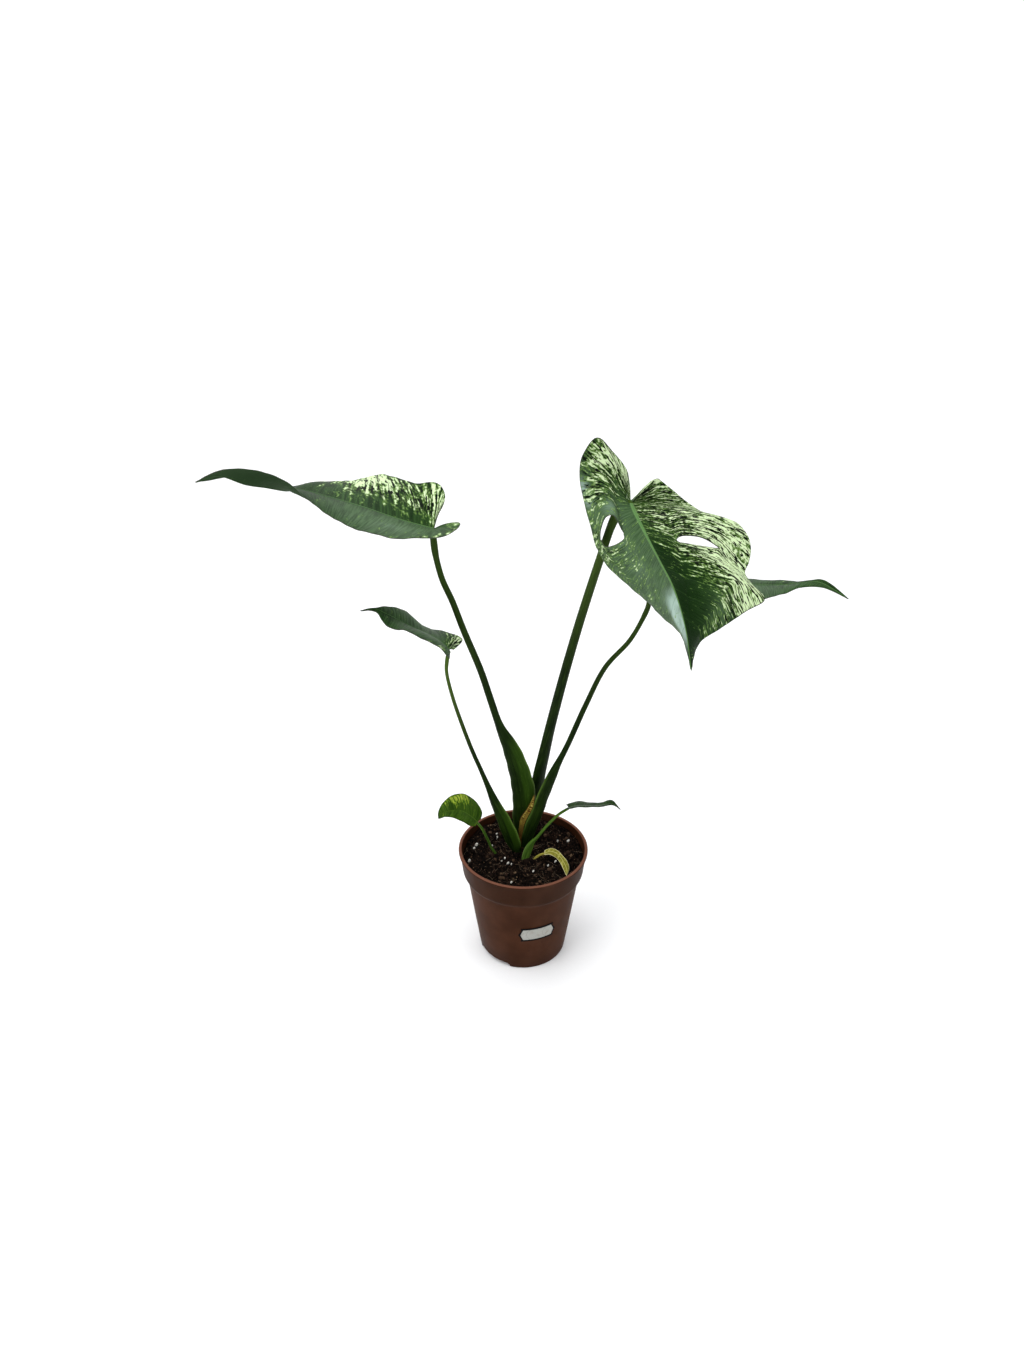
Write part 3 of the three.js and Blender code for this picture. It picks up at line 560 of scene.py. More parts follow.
def soil_body():
    """The rough top, ring by ring from the middle, and the sides down to the pot's floor."""
    corners, faces = [(0, 0, soil_height(0, 0))], []
    for ring in range(1, SOIL_RINGS + 1):
        radius = SOIL_TOP_RADIUS * ring / SOIL_RINGS
        for k in range(SOIL_SIDES):
            turn = 2 * math.pi * (k + 0.5 * (ring % 2)) / SOIL_SIDES
            x, y = radius * math.cos(turn), radius * math.sin(turn)
            corners.append((x, y, soil_height(x, y)))
    inset = WALL + SOIL_CLEARANCE
    under = [
        (COLLAR_RADIUS - inset, COLLAR_HEIGHT + 1), (WAIST_RADIUS - inset, WAIST_HEIGHT),
        (wall_radius(FLOOR_TOP) - inset, FLOOR_TOP + 0.3),
    ]
    for radius, height in under:
        for k in range(SOIL_SIDES):
            turn = 2 * math.pi * k / SOIL_SIDES
            corners.append((radius * math.cos(turn), radius * math.sin(turn), height))
    for k in range(SOIL_SIDES):
        after = (k + 1) % SOIL_SIDES
        faces.append((0, 1 + k, 1 + after))
        for ring in range(SOIL_RINGS + len(under) - 1):
            a, b = 1 + ring * SOIL_SIDES + k, 1 + ring * SOIL_SIDES + after
            faces.append((a, a + SOIL_SIDES, b + SOIL_SIDES, b))
    last = len(corners) - SOIL_SIDES
    faces.append(tuple(range(last + SOIL_SIDES - 1, last - 1, -1)))
    piece = new_piece("soil_ball", corners, faces)
    piece.data.materials.append(soil_finish())
    return piece


def strewing_tree(name, inputs):
    """A tree that strews points on the faces of the soil that look up, within Reach."""
    shared = {"Density": "Float", "Seed": "Int", "Reach": "Float", "Finish": "Material"}
    tree, group = new_tree(name, {**shared, **inputs})
    place = group.node("GeometryNodeInputPosition")
    x, y = place.part("X"), place.part("Y")
    wide = x.math("SQRT", x * x + y * y)
    up = group.node("GeometryNodeInputNormal").part("Z")
    top = x.math("MULTIPLY", up.math("GREATER_THAN", up, STREW_SLOPE),
                 wide.math("LESS_THAN", wide, group.other("Reach")))
    points = group.node("GeometryNodeDistributePointsOnFaces", None, {
        "Mesh": group.other("Geometry"), "Selection": top, "Density": group.other("Density"),
        "Seed": group.other("Seed"),
    })
    return tree, group, place, points


def drawn(seed, low, high):
    """A random number for each point, or a random vector where low is one."""
    kind, first = ("FLOAT_VECTOR", 0) if isinstance(low, tuple) else ("FLOAT", 2)
    values = {first: low, first + 1: high, "Seed": seed}
    return seed.node("FunctionNodeRandomValue", {"data_type": kind}, values, first // 2)


def shaken(shapes, place, scale, detail, middle, reach):
    """Moves each corner by a noise around its middle."""
    offset = place.cloud(scale, detail, "Color").vector("SUBTRACT", middle).sized(reach)
    return shapes.node("GeometryNodeSetPosition", None, {"Geometry": shapes, "Offset": offset})


def grain_tree():
    """Grains strewn on the soil, each turned, stretched and dented, and more of them at Places."""
    tree, group, place, points = strewing_tree("strewn_grains", {
        "Smallest": "Float", "Largest": "Float", "Facets": "Int", "Dent": "Float",
        "Dent Scale": "Float", "Places": "Object",
    })
    seed = group.other("Seed")
    chosen = {"Object": group.other("Places")}
    chosen = group.node("GeometryNodeObjectInfo", None, chosen, "Geometry")
    chosen = chosen.node("GeometryNodeMeshToPoints", None, {"Mesh": chosen})
    joined = points.node("GeometryNodeJoinGeometry")
    for source in (chosen, points):
        tree.links.new(source.socket, joined.socket.node.inputs[0])
    grain = group.node("GeometryNodeMeshIcoSphere", None, {
        "Radius": 1.0, "Subdivisions": group.other("Facets"),
    })
    turn = drawn(seed, (0, 0, 0), (6.3, 6.3, 6.3))
    size = drawn(seed + 1, 0.0, 1.0)
    spread = group.other("Largest") - group.other("Smallest")
    size = group.other("Smallest") + spread * size.math("POWER", size, 3.0)
    named = group.node("GeometryNodeInputNamedAttribute", {"data_type": "FLOAT"}, {"Name": "size"})
    picked = group.node("GeometryNodeSwitch", {"input_type": "FLOAT"}, {
        "Switch": named.other("Exists"), "False": size, "True": named,
    })
    shape = drawn(seed + 2, (0.55, 0.55, 0.45), (1.1, 1.1, 0.8)).sized(picked)
    grains = joined.node("GeometryNodeInstanceOnPoints", None, {
        "Points": joined, "Instance": grain, "Rotation": turn, "Scale": shape,
    })
    settings = {"data_type": "FLOAT", "domain": "INSTANCE"}
    grains = grains.node("GeometryNodeStoreNamedAttribute", settings, {
        "Geometry": grains, "Name": "shade", "Value": drawn(seed + 3, 0.0, 1.0),
    })
    grains = grains.node("GeometryNodeRealizeInstances", None, {"Geometry": grains})
    scale, dent = group.other("Dent Scale"), group.other("Dent")
    grains = shaken(grains, place, scale, 1, (0.5, 0.5, 0.5), dent)
    grains = grains.node("GeometryNodeSetShadeSmooth", None, {
        "Geometry": grains, "Shade Smooth": False,
    })
    end_tree(group, grains)
    return tree


def fibre_tree():
    """Fine fibres that lie across the soil, each a thin bent tube."""
    tree, group, place, points = strewing_tree("strewn_fibres", {
        "Length": "Float", "Thickness": "Float", "Bend": "Float",
    })
    seed = group.other("Seed")
    line = group.node("GeometryNodeMeshLine", {"mode": "OFFSET"}, {
        "Count": 10, "Offset": (0.1, 0, 0.004),
    })
    turn = drawn(seed, (-0.1, -0.12, 0), (0.1, 0.05, 6.3))
    size = drawn(seed + 1, 0.3, 1.0)
    fibres = points.node("GeometryNodeInstanceOnPoints", None, {
        "Points": points, "Instance": line, "Rotation": turn, "Scale": size * group.other("Length"),
    })
    fibres = fibres.node("GeometryNodeRealizeInstances", None, {"Geometry": fibres})
    fibres = shaken(fibres, place, 130, 2, (0.5, 0.5, 0.35), group.other("Bend"))
    fibres = fibres.node("GeometryNodeMeshToCurve", None, {0: fibres})
    ring = group.node("GeometryNodeCurvePrimitiveCircle", None, {
        "Resolution": 5, "Radius": group.other("Thickness"),
    })
    end_tree(group, fibres.node("GeometryNodeCurveToMesh", None, {
        "Curve": fibres, "Profile Curve": ring, "Fill Caps": True,
    }))
    return tree


def strewn(name, soil, tree, values):
    """A piece of loose things that lie on the soil, as the tree strews them."""
    piece = bpy.data.objects.new(name, soil.data.copy())
    bpy.context.scene.collection.objects.link(piece)
    grown(piece, tree, {"Reach": STREW_RADIUS * MM, **values})
    fixed(piece, None)
    return piece


soil = soil_body()
grains = grain_tree()
none = new_piece("no_places", [])
strewn("peat_crumbs_fine", soil, grains, {
    "Density": 330000.0, "Seed": 3, "Smallest": 0.35 * MM, "Largest": 1.2 * MM, "Facets": 1,
    "Dent": 0.9 * MM, "Dent Scale": 700.0, "Places": none, "Finish": crumb_finish(),
})
strewn("peat_crumbs_coarse", soil, grains, {
    "Density": 42000.0, "Seed": 8, "Smallest": 0.9 * MM, "Largest": 3.2 * MM, "Facets": 2,
    "Dent": 2.2 * MM, "Dent Scale": 420.0, "Places": none,
    "Finish": bpy.data.materials["peat_crumb"],
})
places = new_piece("perlite_places", [(x, y, soil_height(x, y) + 0.8) for x, y, size in PERLITE])
sizes = places.data.attributes.new("size", "FLOAT", "POINT")
sizes.data.foreach_set("value", [size * MM for x, y, size in PERLITE])
strewn("perlite_grains", soil, grains, {
    "Density": 13000.0, "Seed": 21, "Smallest": 0.45 * MM, "Largest": 1.8 * MM, "Facets": 2,
    "Dent": 0.9 * MM, "Dent Scale": 600.0, "Places": places, "Finish": perlite_finish(),
})
strewn("root_fibres", soil, fibre_tree(), {
    "Density": 10000.0, "Seed": 5, "Length": 13 * MM, "Thickness": 0.1 * MM, "Bend": 5 * MM,
    "Finish": fibre_finish(),
})
for helper in (none, places):
    bpy.data.objects.remove(helper)
smoothed(soil, 180)
fixed(soil, "potting_soil")


# The crown is the short thick stem under the soil that every stalk springs from. It is
# corky and ringed, and only its place is known, because the soil hides it.
CROWN_SIDES = 48
CROWN_RINGS = 9
CROWN_GROOVE = 0.03
crown_low, crown_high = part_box("crown")


def crown_finish():
    material, start = new_finish("crown_bark")
    place = object_place(start)
    rings = place.scaled(0.2, 0.2, 1).cloud(320, 3)
    color = rings.rises(0.35, 0.65).tints((92, 84, 44), (60, 44, 28))
    end_finish(start, color, 0.7 + rings * 0.1, rings, 0.0008)
    return material


def bands(rows, sides):
    """The faces between rings of corners that follow one another."""
    for row in range(rows):
        for k in range(sides):
            a, b = row * sides + k, row * sides + (k + 1) % sides
            yield a, b, b + sides, a + sides


def crown_piece():
    middle = (crown_low + crown_high) / 2 / MM
    radius = (crown_high.x - crown_low.x) / 2 / MM
    height = (crown_high.z - crown_low.z) / MM
    shares = [(0, 0), (0.35, 0), (0.5, 0.03), (0.75, 0.12), (0.9, 0.25), (0.97, 0.45), (1, 0.7),
              (0.97, 0.88), (0.85, 0.97), (0.5, 1), (0, 1)]
    corners = []
    for wide, up in shares:
        knob = 1 - CROWN_GROOVE * math.sin(CROWN_RINGS * up * math.pi) ** 2
        reach = radius * wide * knob
        for i in range(CROWN_SIDES):
            turn = 2 * math.pi * i / CROWN_SIDES
            corners.append((middle.x + reach * math.cos(turn), middle.y + reach * math.sin(turn),
                            crown_low.z / MM + height * up))
    return new_piece("crown_stem", corners, list(bands(len(shares) - 1, CROWN_SIDES)))


def merged(piece, distance=1e-6):
    """Closes seams and poles where corners lie at one place."""
    work = bmesh.new()
    work.from_mesh(piece.data)
    bmesh.ops.remove_doubles(work, verts=work.verts, dist=distance)
    bmesh.ops.recalc_face_normals(work, faces=work.faces)
    work.to_mesh(piece.data)
    work.free()
    return piece


crown = merged(crown_piece())
smoothed(crown, 60)
fixed(crown, "crown", crown_finish())


# The stalks are fleshy dark green rods. Each widens at its foot into a sheath, a gutter with
# thin pale edges that once wrapped the next leaf, and ends in a slight knee under its blade.
STALK_STEPS = 150
STALK_FACETS = 15
SHEATH_EDGE = 0.35
SHEATH_RUFFLE = 0.33
CREASE_DEPTH = 0.9
CREASE_WIDTH = 0.13
KNEE = 0.18
KNEE_PLACE = 0.955
KNEE_SPREAD = 0.025
END_ROUNDING = 2.2

# A path runs from the crown to the blade, and outward is where the sheath's back faces. A
# station gives the share of the length, half the width, and how far the outer and the inner
# face stand off the middle. A negative inner figure hollows the face.
STALKS = {
    "petiole_large_left": {
        "path": [
            (1, 25, 86), (1, 25, 101), (0, 23.5, 125), (1, 22, 149), (-2, 20, 175),
            (-10.5, 17, 207), (-21.5, 15, 234), (-29.5, 12, 263), (-37.5, 10, 292), (-50.5, 5, 331),
            (-59, 3, 358), (-65.8, 1, 376), (-69.3, 0.5, 389), (-71.8, 0, 404), (-73.1, 0, 422.6),
        ],
        "outward": (-0.25, -0.97, 0), "fold": 0.05, "tender": 0.35,
        "stations": [
            (0, 4, 3.5, 3), (0.045, 6.5, 3.6, 1), (0.1, 9.5, 4.5, -2.8), (0.16, 10.8, 4.9, -3.2),
            (0.22, 11.2, 4.8, -3.2), (0.27, 10.2, 4.6, -3), (0.33, 9, 4.2, -2.2),
            (0.38, 7, 3.8, -0.8), (0.41, 5.4, 3.5, 0.6), (0.435, 3.4, 3.2, 2.4),
            (0.47, 3.2, 3.1, 3), (0.95, 2.3, 2.3, 2.3), (1, 2.6, 2.6, 2.6),
        ],
    },
    "petiole_large_right": {
        "path": [
            (6, 33, 86), (6.5, 32.6, 101), (9.5, 31, 127), (12, 29, 150), (14.5, 26, 175),
            (17.8, 22, 197), (22, 18, 223), (26, 13, 246), (35, 2, 296), (45, -12, 349),
            (56.5, -30, 406), (64.5, -43, 443), (72, -49, 457), (78, -51, 460),
        ],
        "outward": (0.6, -0.8, 0), "tender": 0.6,
        "stations": [
            (0, 3.8, 2.8, 2.6), (0.1, 5.8, 3.4, 1), (0.2, 7.4, 3.9, -0.5), (0.25, 7.2, 4.1, 0),
            (0.3, 6.4, 4.2, 1.2), (0.36, 5.3, 4.3, 3), (0.42, 4.5, 4.3, 4.1), (0.6, 3.8, 3.8, 3.8),
            (0.95, 3, 3, 3), (1, 3.2, 3.2, 3.2),
        ],
    },
    "petiole_rear_right": {
        "path": [
            (2, 16, 86), (1.5, 16, 101), (3.8, 16, 110), (7.4, 16, 124), (13.6, 16, 142),
            (18.2, 15, 159), (29, 14, 190), (39.4, 13, 215), (54, 12, 256), (69, 11, 293),
            (89, 10, 320), (101, 10, 346), (103.4, 10, 359),
        ],
        "outward": (0.5, -0.85, 0), "tender": 0.3,
        "stations": [
            (0, 3, 2.8, 2.6), (0.05, 4.8, 3, 2), (0.09, 7, 3.4, -1), (0.15, 7, 3.6, -1.5),
            (0.2, 6.7, 3.7, -1.6), (0.27, 6.4, 3.6, -1.4), (0.32, 5.8, 3.4, -0.8),
            (0.36, 4.9, 3.1, 0), (0.4, 3.1, 2.8, 1.8), (0.44, 2.5, 2.4, 2.3), (0.5, 2.5, 2.4, 2.4),
            (0.95, 1.8, 1.8, 1.8), (1, 2, 2, 2),
        ],
    },
    "petiole_small_left": {
        "path": [
            (-5, 8.5, 86), (-5.5, 8.5, 100), (-7.4, 8, 105), (-10, 7.5, 114), (-13.5, 6, 126),
            (-19, 4, 143), (-25, 2, 159), (-31.5, -1, 179), (-38, -5, 200), (-47, -10, 229),
            (-58, -20, 274), (-63.5, -27, 306), (-62.8, -30, 322), (-60.8, -30, 331),
        ],
        "outward": (-0.5, -0.85, 0), "fold": 0.2, "tender": 0.9,
        "stations": [
            (0, 2.4, 2.2, 2.2), (0.05, 4, 2.6, 1.2), (0.085, 7.4, 3.4, -0.8),
            (0.12, 8.9, 3.8, -1.6), (0.165, 8.7, 3.6, -1.7), (0.235, 7.4, 3.2, -1.4),
            (0.3, 5.4, 2.8, -0.6), (0.38, 3, 2.2, 1.4), (0.46, 1.9, 1.9, 1.9),
            (0.95, 1.3, 1.3, 1.3), (1, 1.5, 1.5, 1.5),
        ],
    },
}


class Path:
    """A smooth curve through points, read by its share of the list or of its length."""

    def __init__(self, points):
        points = np.array(points, float)
        before, after = 2 * points[0] - points[1], 2 * points[-1] - points[-2]
        self.points = np.vstack([before, points, after])
        self.last = len(points) - 1
        self.shares = np.linspace(0, 1, 1601)
        steps = np.linalg.norm(np.diff(self.listed(self.shares), axis=0), axis=1)
        self.lengths = np.append(0, np.cumsum(steps))

    def listed(self, share):
        place = np.clip(share, 0, 1) * self.last
        k = np.minimum(place.astype(int), self.last - 1)
        t = (place - k)[..., None]
        a, b, c, d = (self.points[k + i] for i in range(4))
        return b + 0.5 * t * (c - a + t * (2 * a - 5 * b + 4 * c - d + t * (3 * (b - c) + d - a)))

    def spaced(self, share):
        return self.listed(np.interp(share * self.lengths[-1], self.lengths, self.shares))

    def heading(self, share):
        ahead, behind = np.minimum(share + 0.002, 1), np.maximum(share - 0.002, 0)
        return unit(self.spaced(ahead) - self.spaced(behind))


def unit(vectors):
    length = np.linalg.norm(vectors, axis=-1, keepdims=True)
    return vectors / np.maximum(length, 1e-9)


def eased(stations, shares, reach=4):
    """The stations' figures at each share, with the corners between them smoothed."""
    table = np.array(stations, float)
    rows = [np.interp(shares, table[:, 0], column) for column in table.T[1:]]
    window = np.ones(2 * reach + 1) / (2 * reach + 1)
    return [np.convolve(np.pad(row, reach, mode="edge"), window, "valid") for row in rows]


def store(piece, name, values):
    """Keeps one number or one vector for each corner of the mesh."""
    values = np.asarray(values, float)
    kind, field = ("FLOAT", "value") if values.ndim == 1 else ("FLOAT_VECTOR", "vector")
    piece.data.attributes.new(name, kind, "POINT").data.foreach_set(field, values.ravel())


def stalk_finish(name, dark, light, flap_green, flesh):
    material, start = new_finish(name)
    place = from_mesh(start, "course", "Vector")
    flap, wing = from_mesh(start, "flap"), from_mesh(start, "wing")
    hollow, tender = from_mesh(start, "hollow"), from_mesh(start, "tender")
    body = object_place(start)
    ribs = place.scaled(1.7, 0.03, 1).cloud(1, 3)
    threads = place.scaled(5, 0.06, 1).cloud(1, 3)
    blotch = place.scaled(0.25, 0.05, 1).cloud(1, 4)
    specks = place.scaled(2.2, 0.9, 1).cloud(1, 2).rises(0.66, 0.74)
    color = (ribs * 0.6 + blotch * 0.4).rises(0.38, 0.66).tints(dark, light).coated(
        (hollow * blotch.rises(0.3, 0.7) * 0.3, light), (flap * (0.5 + ribs * 0.5), flap_green),
        (tender * (0.35 + ribs * 0.5), flesh), (threads.rises(0.5, 0.72) * 0.12, flesh),
        (specks * (0.12 + hollow * 0.2), flesh), (wing * 0.8, flesh),
    )
    height = ribs * 0.7 + threads * 0.3
    roughness = 0.34 + blotch * 0.2 + body.cloud(300, 2) * 0.06
    end_finish(start, color, roughness, height, 0.0003, Specular_IOR_Level=0.03)
    return material


def stalk_piece(name, path, outward, stations, fold=2, tender=0, steps=STALK_STEPS,
                facets=STALK_FACETS, knee=KNEE):
    """A rod along the path, whose foot opens into a creased gutter with ruffled edges."""
    curve = Path(path)
    shares = np.linspace(0, 1, steps + 1)
    width, outer, inner = eased(stations, shares)
    hollow = np.clip(-inner / 1.5, 0, 1)
    swell = 1 + knee * np.exp(-(((shares - KNEE_PLACE) / KNEE_SPREAD) ** 2))
    length = curve.lengths[-1]
    end = np.clip((1 - shares) * length / END_ROUNDING, 0, 1)
    swell *= np.sqrt(1 - (1 - end) ** 2) * 0.995 + 0.005
    width, outer, inner = width * swell, outer * swell, inner * np.where(inner > 0, swell, 1)
    along, middle = curve.heading(shares), curve.spaced(shares)
    out = np.array(outward, float)
    out = unit(out - (along @ out)[:, None] * along)
    across = np.cross(along, out)
    angles = np.linspace(0, np.pi, facets + 1)
    around = np.concatenate([angles, angles[::-1]])
    is_outer = np.arange(2 * facets + 2) <= facets
    depth = np.where(is_outer, outer[:, None], inner[:, None])
    edge = SHEATH_EDGE * np.minimum(swell, 1)[:, None]
    stand = (depth - edge) * np.sin(around) + edge
    stand = np.where(is_outer, stand, -stand)
    crease = np.exp(-(((np.cos(around) - fold) / CREASE_WIDTH) ** 2))
    stand = stand - CREASE_DEPTH * hollow[:, None] * is_outer * crease
    lip = 0.5 * hollow * np.sin(shares * length * SHEATH_RUFFLE) + 0.25 * hollow
    wide = width[:, None] * np.cos(around) * (1 + 0.05 * lip[:, None])
    corners = middle[:, None] + wide[..., None] * across[:, None] + stand[..., None] * out[:, None]
    ring = 2 * facets + 2
    faces = list(bands(steps, ring))
    faces.append(tuple(range(ring - 1, -1, -1)))
    faces.append(tuple(steps * ring + k for k in range(ring)))
    piece = new_piece(name, corners.reshape(-1, 3), faces)
    girth = np.where(is_outer, angles[0] + around, -around) * 3
    course = np.zeros((steps + 1, ring, 3))
    course[..., 0] = girth
    course[..., 1] = (shares * length)[:, None]
    store(piece, "course", course.reshape(-1, 3))
    store(piece, "wing", (hollow[:, None] * np.abs(np.cos(around)) ** 24).ravel())
    store(piece, "hollow", np.repeat(hollow, ring))
    store(piece, "tender", np.repeat(tender * np.clip((shares - 0.55) / 0.4, 0, 1), ring))
    beyond = np.clip((np.cos(around) - fold) / 0.12, 0, 1) * is_outer
    store(piece, "flap", (hollow[:, None] * beyond).ravel())
    smoothed(piece, 70)
    return piece


green_stalk = stalk_finish(
    "stalk_green", (10, 23, 4), (28, 46, 10), (39, 64, 11), (88, 116, 46),
)
for node, stalk in STALKS.items():
    piece = stalk_piece(node.replace("petiole", "stalk"), **stalk)
    fixed(piece, node, green_stalk)


# The four blades on those stalks are thick waxy leaves, folded along the midrib. Veins leave
# the midrib and bend to the margin, and the cream and mint flecks grow along them. Each blade
# hangs from the knee of its stalk.
BLADE_THICKNESS = 0.6
VEIN_DIRECTION = 0.35
VEIN_SPREAD = 0.6
ROOT_CROWDING = 1.5
RIDGE_ABOVE = 0.35
RIDGE_BELOW = 0.9
RIM_REACH = 0.45
LEAST_OPENING = 0.03
FINE = 6
HALVES = {"right": 1.0, "left": 2.0}
COLUMNS = np.concatenate([
    [0, 0.006, 0.014, 0.026, 0.042, 0.062], np.linspace(0.09, 0.95, 44), [0.97, 0.985, 0.994, 1],
])
MIDDLE_COLUMN = len(COLUMNS) * 6 // 10

# Each list gives the midrib from the stalk to the tip, and each half's margin from beside the
# stalk to the tip, with the share of the midrib that its vein starts from. Right and left are
# as seen from the stalk. The zones say where the flecks lie, where a painted sheen and a
# painted highlight lie as the reflection of the light, and where painted shade and a deeper
# green darken the blade. A zone gives the share of the way to the tip and from the midrib to
# the margin, its size both ways, and its strength. An opening parts the blade at one vein: its
# edges give the share of the way to the margin and how far the front and the back edge move
# along the margin's list, and fading says how soon that dies away.
LARGE_LEFT = {
    "midrib": [
        (-72, 0, 422), (-98, -4, 431), (-124, -8, 442), (-150, -10, 451), (-173, -12, 458),
        (-182, -12, 457), (-198, -10, 459), (-213, -12, 462), (-232, -16, 470), (-248, -20, 466),
    ],
    "right": [
        (-69, 14, 429, 0), (-65, 34, 435, 0), (-67, 48, 439, 0), (-75, 58, 442, 0),
        (-91, 66, 439, 0.03), (-109, 72, 442, 0.12), (-119, 72, 445, 0.2), (-128, 68, 444, 0.28),
        (-145, 60, 443, 0.4), (-161, 46, 446, 0.55), (-171, 30, 449, 0.62), (-181, 12, 452, 0.68),
        (-196, 4, 460, 0.77), (-216, -2, 466, 0.87), (-248, -20, 466, 1),
    ],
    "left": [
        (-67, -4, 425, 0), (-57, -12, 431, 0), (-50, -24, 435, 0), (-53, -36, 434, 0),
        (-64, -48, 433, 0), (-75, -56, 435, 0.01), (-85, -62, 437, 0.03), (-98, -66, 439, 0.1),
        (-118, -68, 445, 0.22), (-132, -64, 449, 0.34), (-149, -54, 456, 0.48),
        (-164, -40, 462, 0.62), (-172, -34, 467, 0.68), (-185, -28, 473, 0.76),
        (-200, -24, 476, 0.84), (-225, -20, 476, 0.93), (-248, -20, 466, 1),
    ],
    "arch": 0.06, "lobe_rows": 4, "rib_rows": 18, "laterals": 11,
    "flecks": {
        "right": [
            (0.08, 0.6, 0.17, 0.9, 0.62), (0.34, 0.6, 0.15, 0.5, 0.42),
            (0.52, 0.85, 0.12, 0.4, 0.46), (0.68, 0.9, 0.12, 0.3, 0.44),
            (0.55, 0.5, 0.12, 0.4, 0.35),
        ],
        "left": [(0.03, 0.7, 0.1, 0.5, 0.45), (0.2, 0.97, 0.12, 0.15, 0.4)],
    },
    "sheen": {"right": [(0.6, 0.3, 0.2, 0.5, 0.2)], "left": [(0.42, 0.55, 0.3, 0.7, 0.75)]},
    "deep": {
        "right": [(0.86, 0.5, 0.16, 2, 1), (0.3, 0.35, 0.2, 0.35, 0.7)],
        "left": [(0.86, 0.5, 0.16, 2, 1)],
    },
}
LARGE_RIGHT = {
    "midrib": [
        (75.5, -50, 460.3), (81, -84, 453), (90.8, -114, 439), (98, -137, 428),
        (104.8, -154, 407), (109, -163, 381),
    ],
    "right": [
        (72, -50, 461.3, 0), (73.2, -52, 474, 0), (71.4, -53.5, 485, 0), (60.8, -54, 498.5, 0),
        (49.5, -52, 508, 0), (41, -42, 494, 0), (39, -36, 479, 0.01), (42, -34, 459, 0.04),
        (48, -36, 438, 0.1), (55, -44, 419, 0.18), (66, -56, 407, 0.28), (83, -78, 399, 0.42),
        (94, -98, 394, 0.55), (104, -120, 391, 0.7), (108, -136, 389, 0.82), (109, -163, 381, 1),
    ],
    "left": [
        (77.8, -50, 461.3, 0), (82.5, -46, 467, 0), (89.5, -41, 472, 0), (95.5, -38, 474, 0),
        (99.5, -36, 471.4, 0), (112, -31.5, 461, 0), (130, -28, 447, 0), (146, -30, 441, 0.02),
        (158, -36, 440, 0.05), (164, -44, 434, 0.1), (166, -54, 427, 0.14),
        (163, -66, 420, 0.18), (159, -76, 415, 0.22), (165, -86, 408, 0.26),
        (170, -96, 403, 0.3), (155, -108, 400, 0.42), (143, -120, 398, 0.55),
        (129, -132, 395, 0.66), (119.5, -140, 392.4, 0.76), (113.6, -148.5, 389.4, 0.86),
        (109, -163, 381, 1),
    ],
    "arch": 0.1, "lobe_rows": 5, "rib_rows": 20, "laterals": 12,
    "openings": [
        {
            "half": "right", "vein": 6, "fading": 1.9,
            "edges": [
                (0, 0, 0), (0.2, 0.25, 0.25), (0.285, 0.4, 0.4), (0.3, 0.05, 0.75),
                (0.33, -0.58, 0.88), (0.36, -1.02, 0.86), (0.41, -1.34, 0.78),
                (0.47, -1.36, 0.66), (0.54, -1.24, 0.54), (0.6, -1.06, 0.43),
                (0.67, -0.78, 0.32), (0.74, -0.52, 0.18), (0.78, -0.34, 0), (0.8, -0.22, -0.22),
                (0.9, -0.08, -0.08), (1, 0, 0),
            ],
        },
        {
            "half": "left", "vein": 8, "fading": 3,
            "edges": [
                (0, 0, 0), (0.15, 0.4, 0.4), (0.225, 0.9, 0.9), (0.24, 0.3, 1.2),
                (0.26, -0.9, 0.95), (0.29, -1.88, 0.35), (0.33, -2.15, -0.1),
                (0.36, -2.26, -0.35), (0.44, -2.32, -0.8), (0.53, -2.08, -1.22),
                (0.6, -1.84, -1.46), (0.655, -1.62, -1.62), (0.8, -0.7, -0.7), (1, 0, 0),
            ],
        },
    ],
    "flecks": {
        "right": [
            (0.11, 0.65, 0.12, 0.6, 0.78), (0.02, 1, 0.05, 0.3, 0.3), (0.29, 0.7, 0.08, 0.45, 0.4),
            (0.44, 0.95, 0.1, 0.25, 0.3), (0.47, 0.4, 0.09, 0.3, 0.22), (0.62, 0.6, 0.2, 0.5, 0.25),
        ],
        "left": [
            (0, 0.6, 0.15, 0.9, 0.72), (0.36, 0.5, 0.21, 0.8, 0.6), (0.27, 1, 0.2, 0.25, 0.3),
            (0.56, 0.75, 0.12, 0.4, 0.46), (0.68, 0.9, 0.1, 0.3, 0.44),
            (0.81, 0.9, 0.08, 0.25, 0.32), (0.6, 0.45, 0.1, 0.2, 0.2),
        ],
    },
    "sheen": {
        "right": [
            (0.6, 0.45, 0.28, 0.8, 0.75), (0.88, 0.1, 0.11, 0.65, 1), (0.34, 0.4, 0.12, 0.5, 0.45),
            (0.28, 0.95, 0.07, 0.25, 0.7),
        ],
        "left": [(0.74, 0.8, 0.09, 0.22, 0.75)],
    },
    "deep": {
        "right": [(1, 0.5, 0.08, 2, 1.2)],
        "left": [
            (0.74, 0.2, 0.14, 0.35, 0.9), (0.6, 0.1, 0.12, 0.15, 0.7), (0.95, 0.5, 0.12, 2, 1),
            (0.38, 0.35, 0.15, 0.4, 0.5),
        ],
    },
}
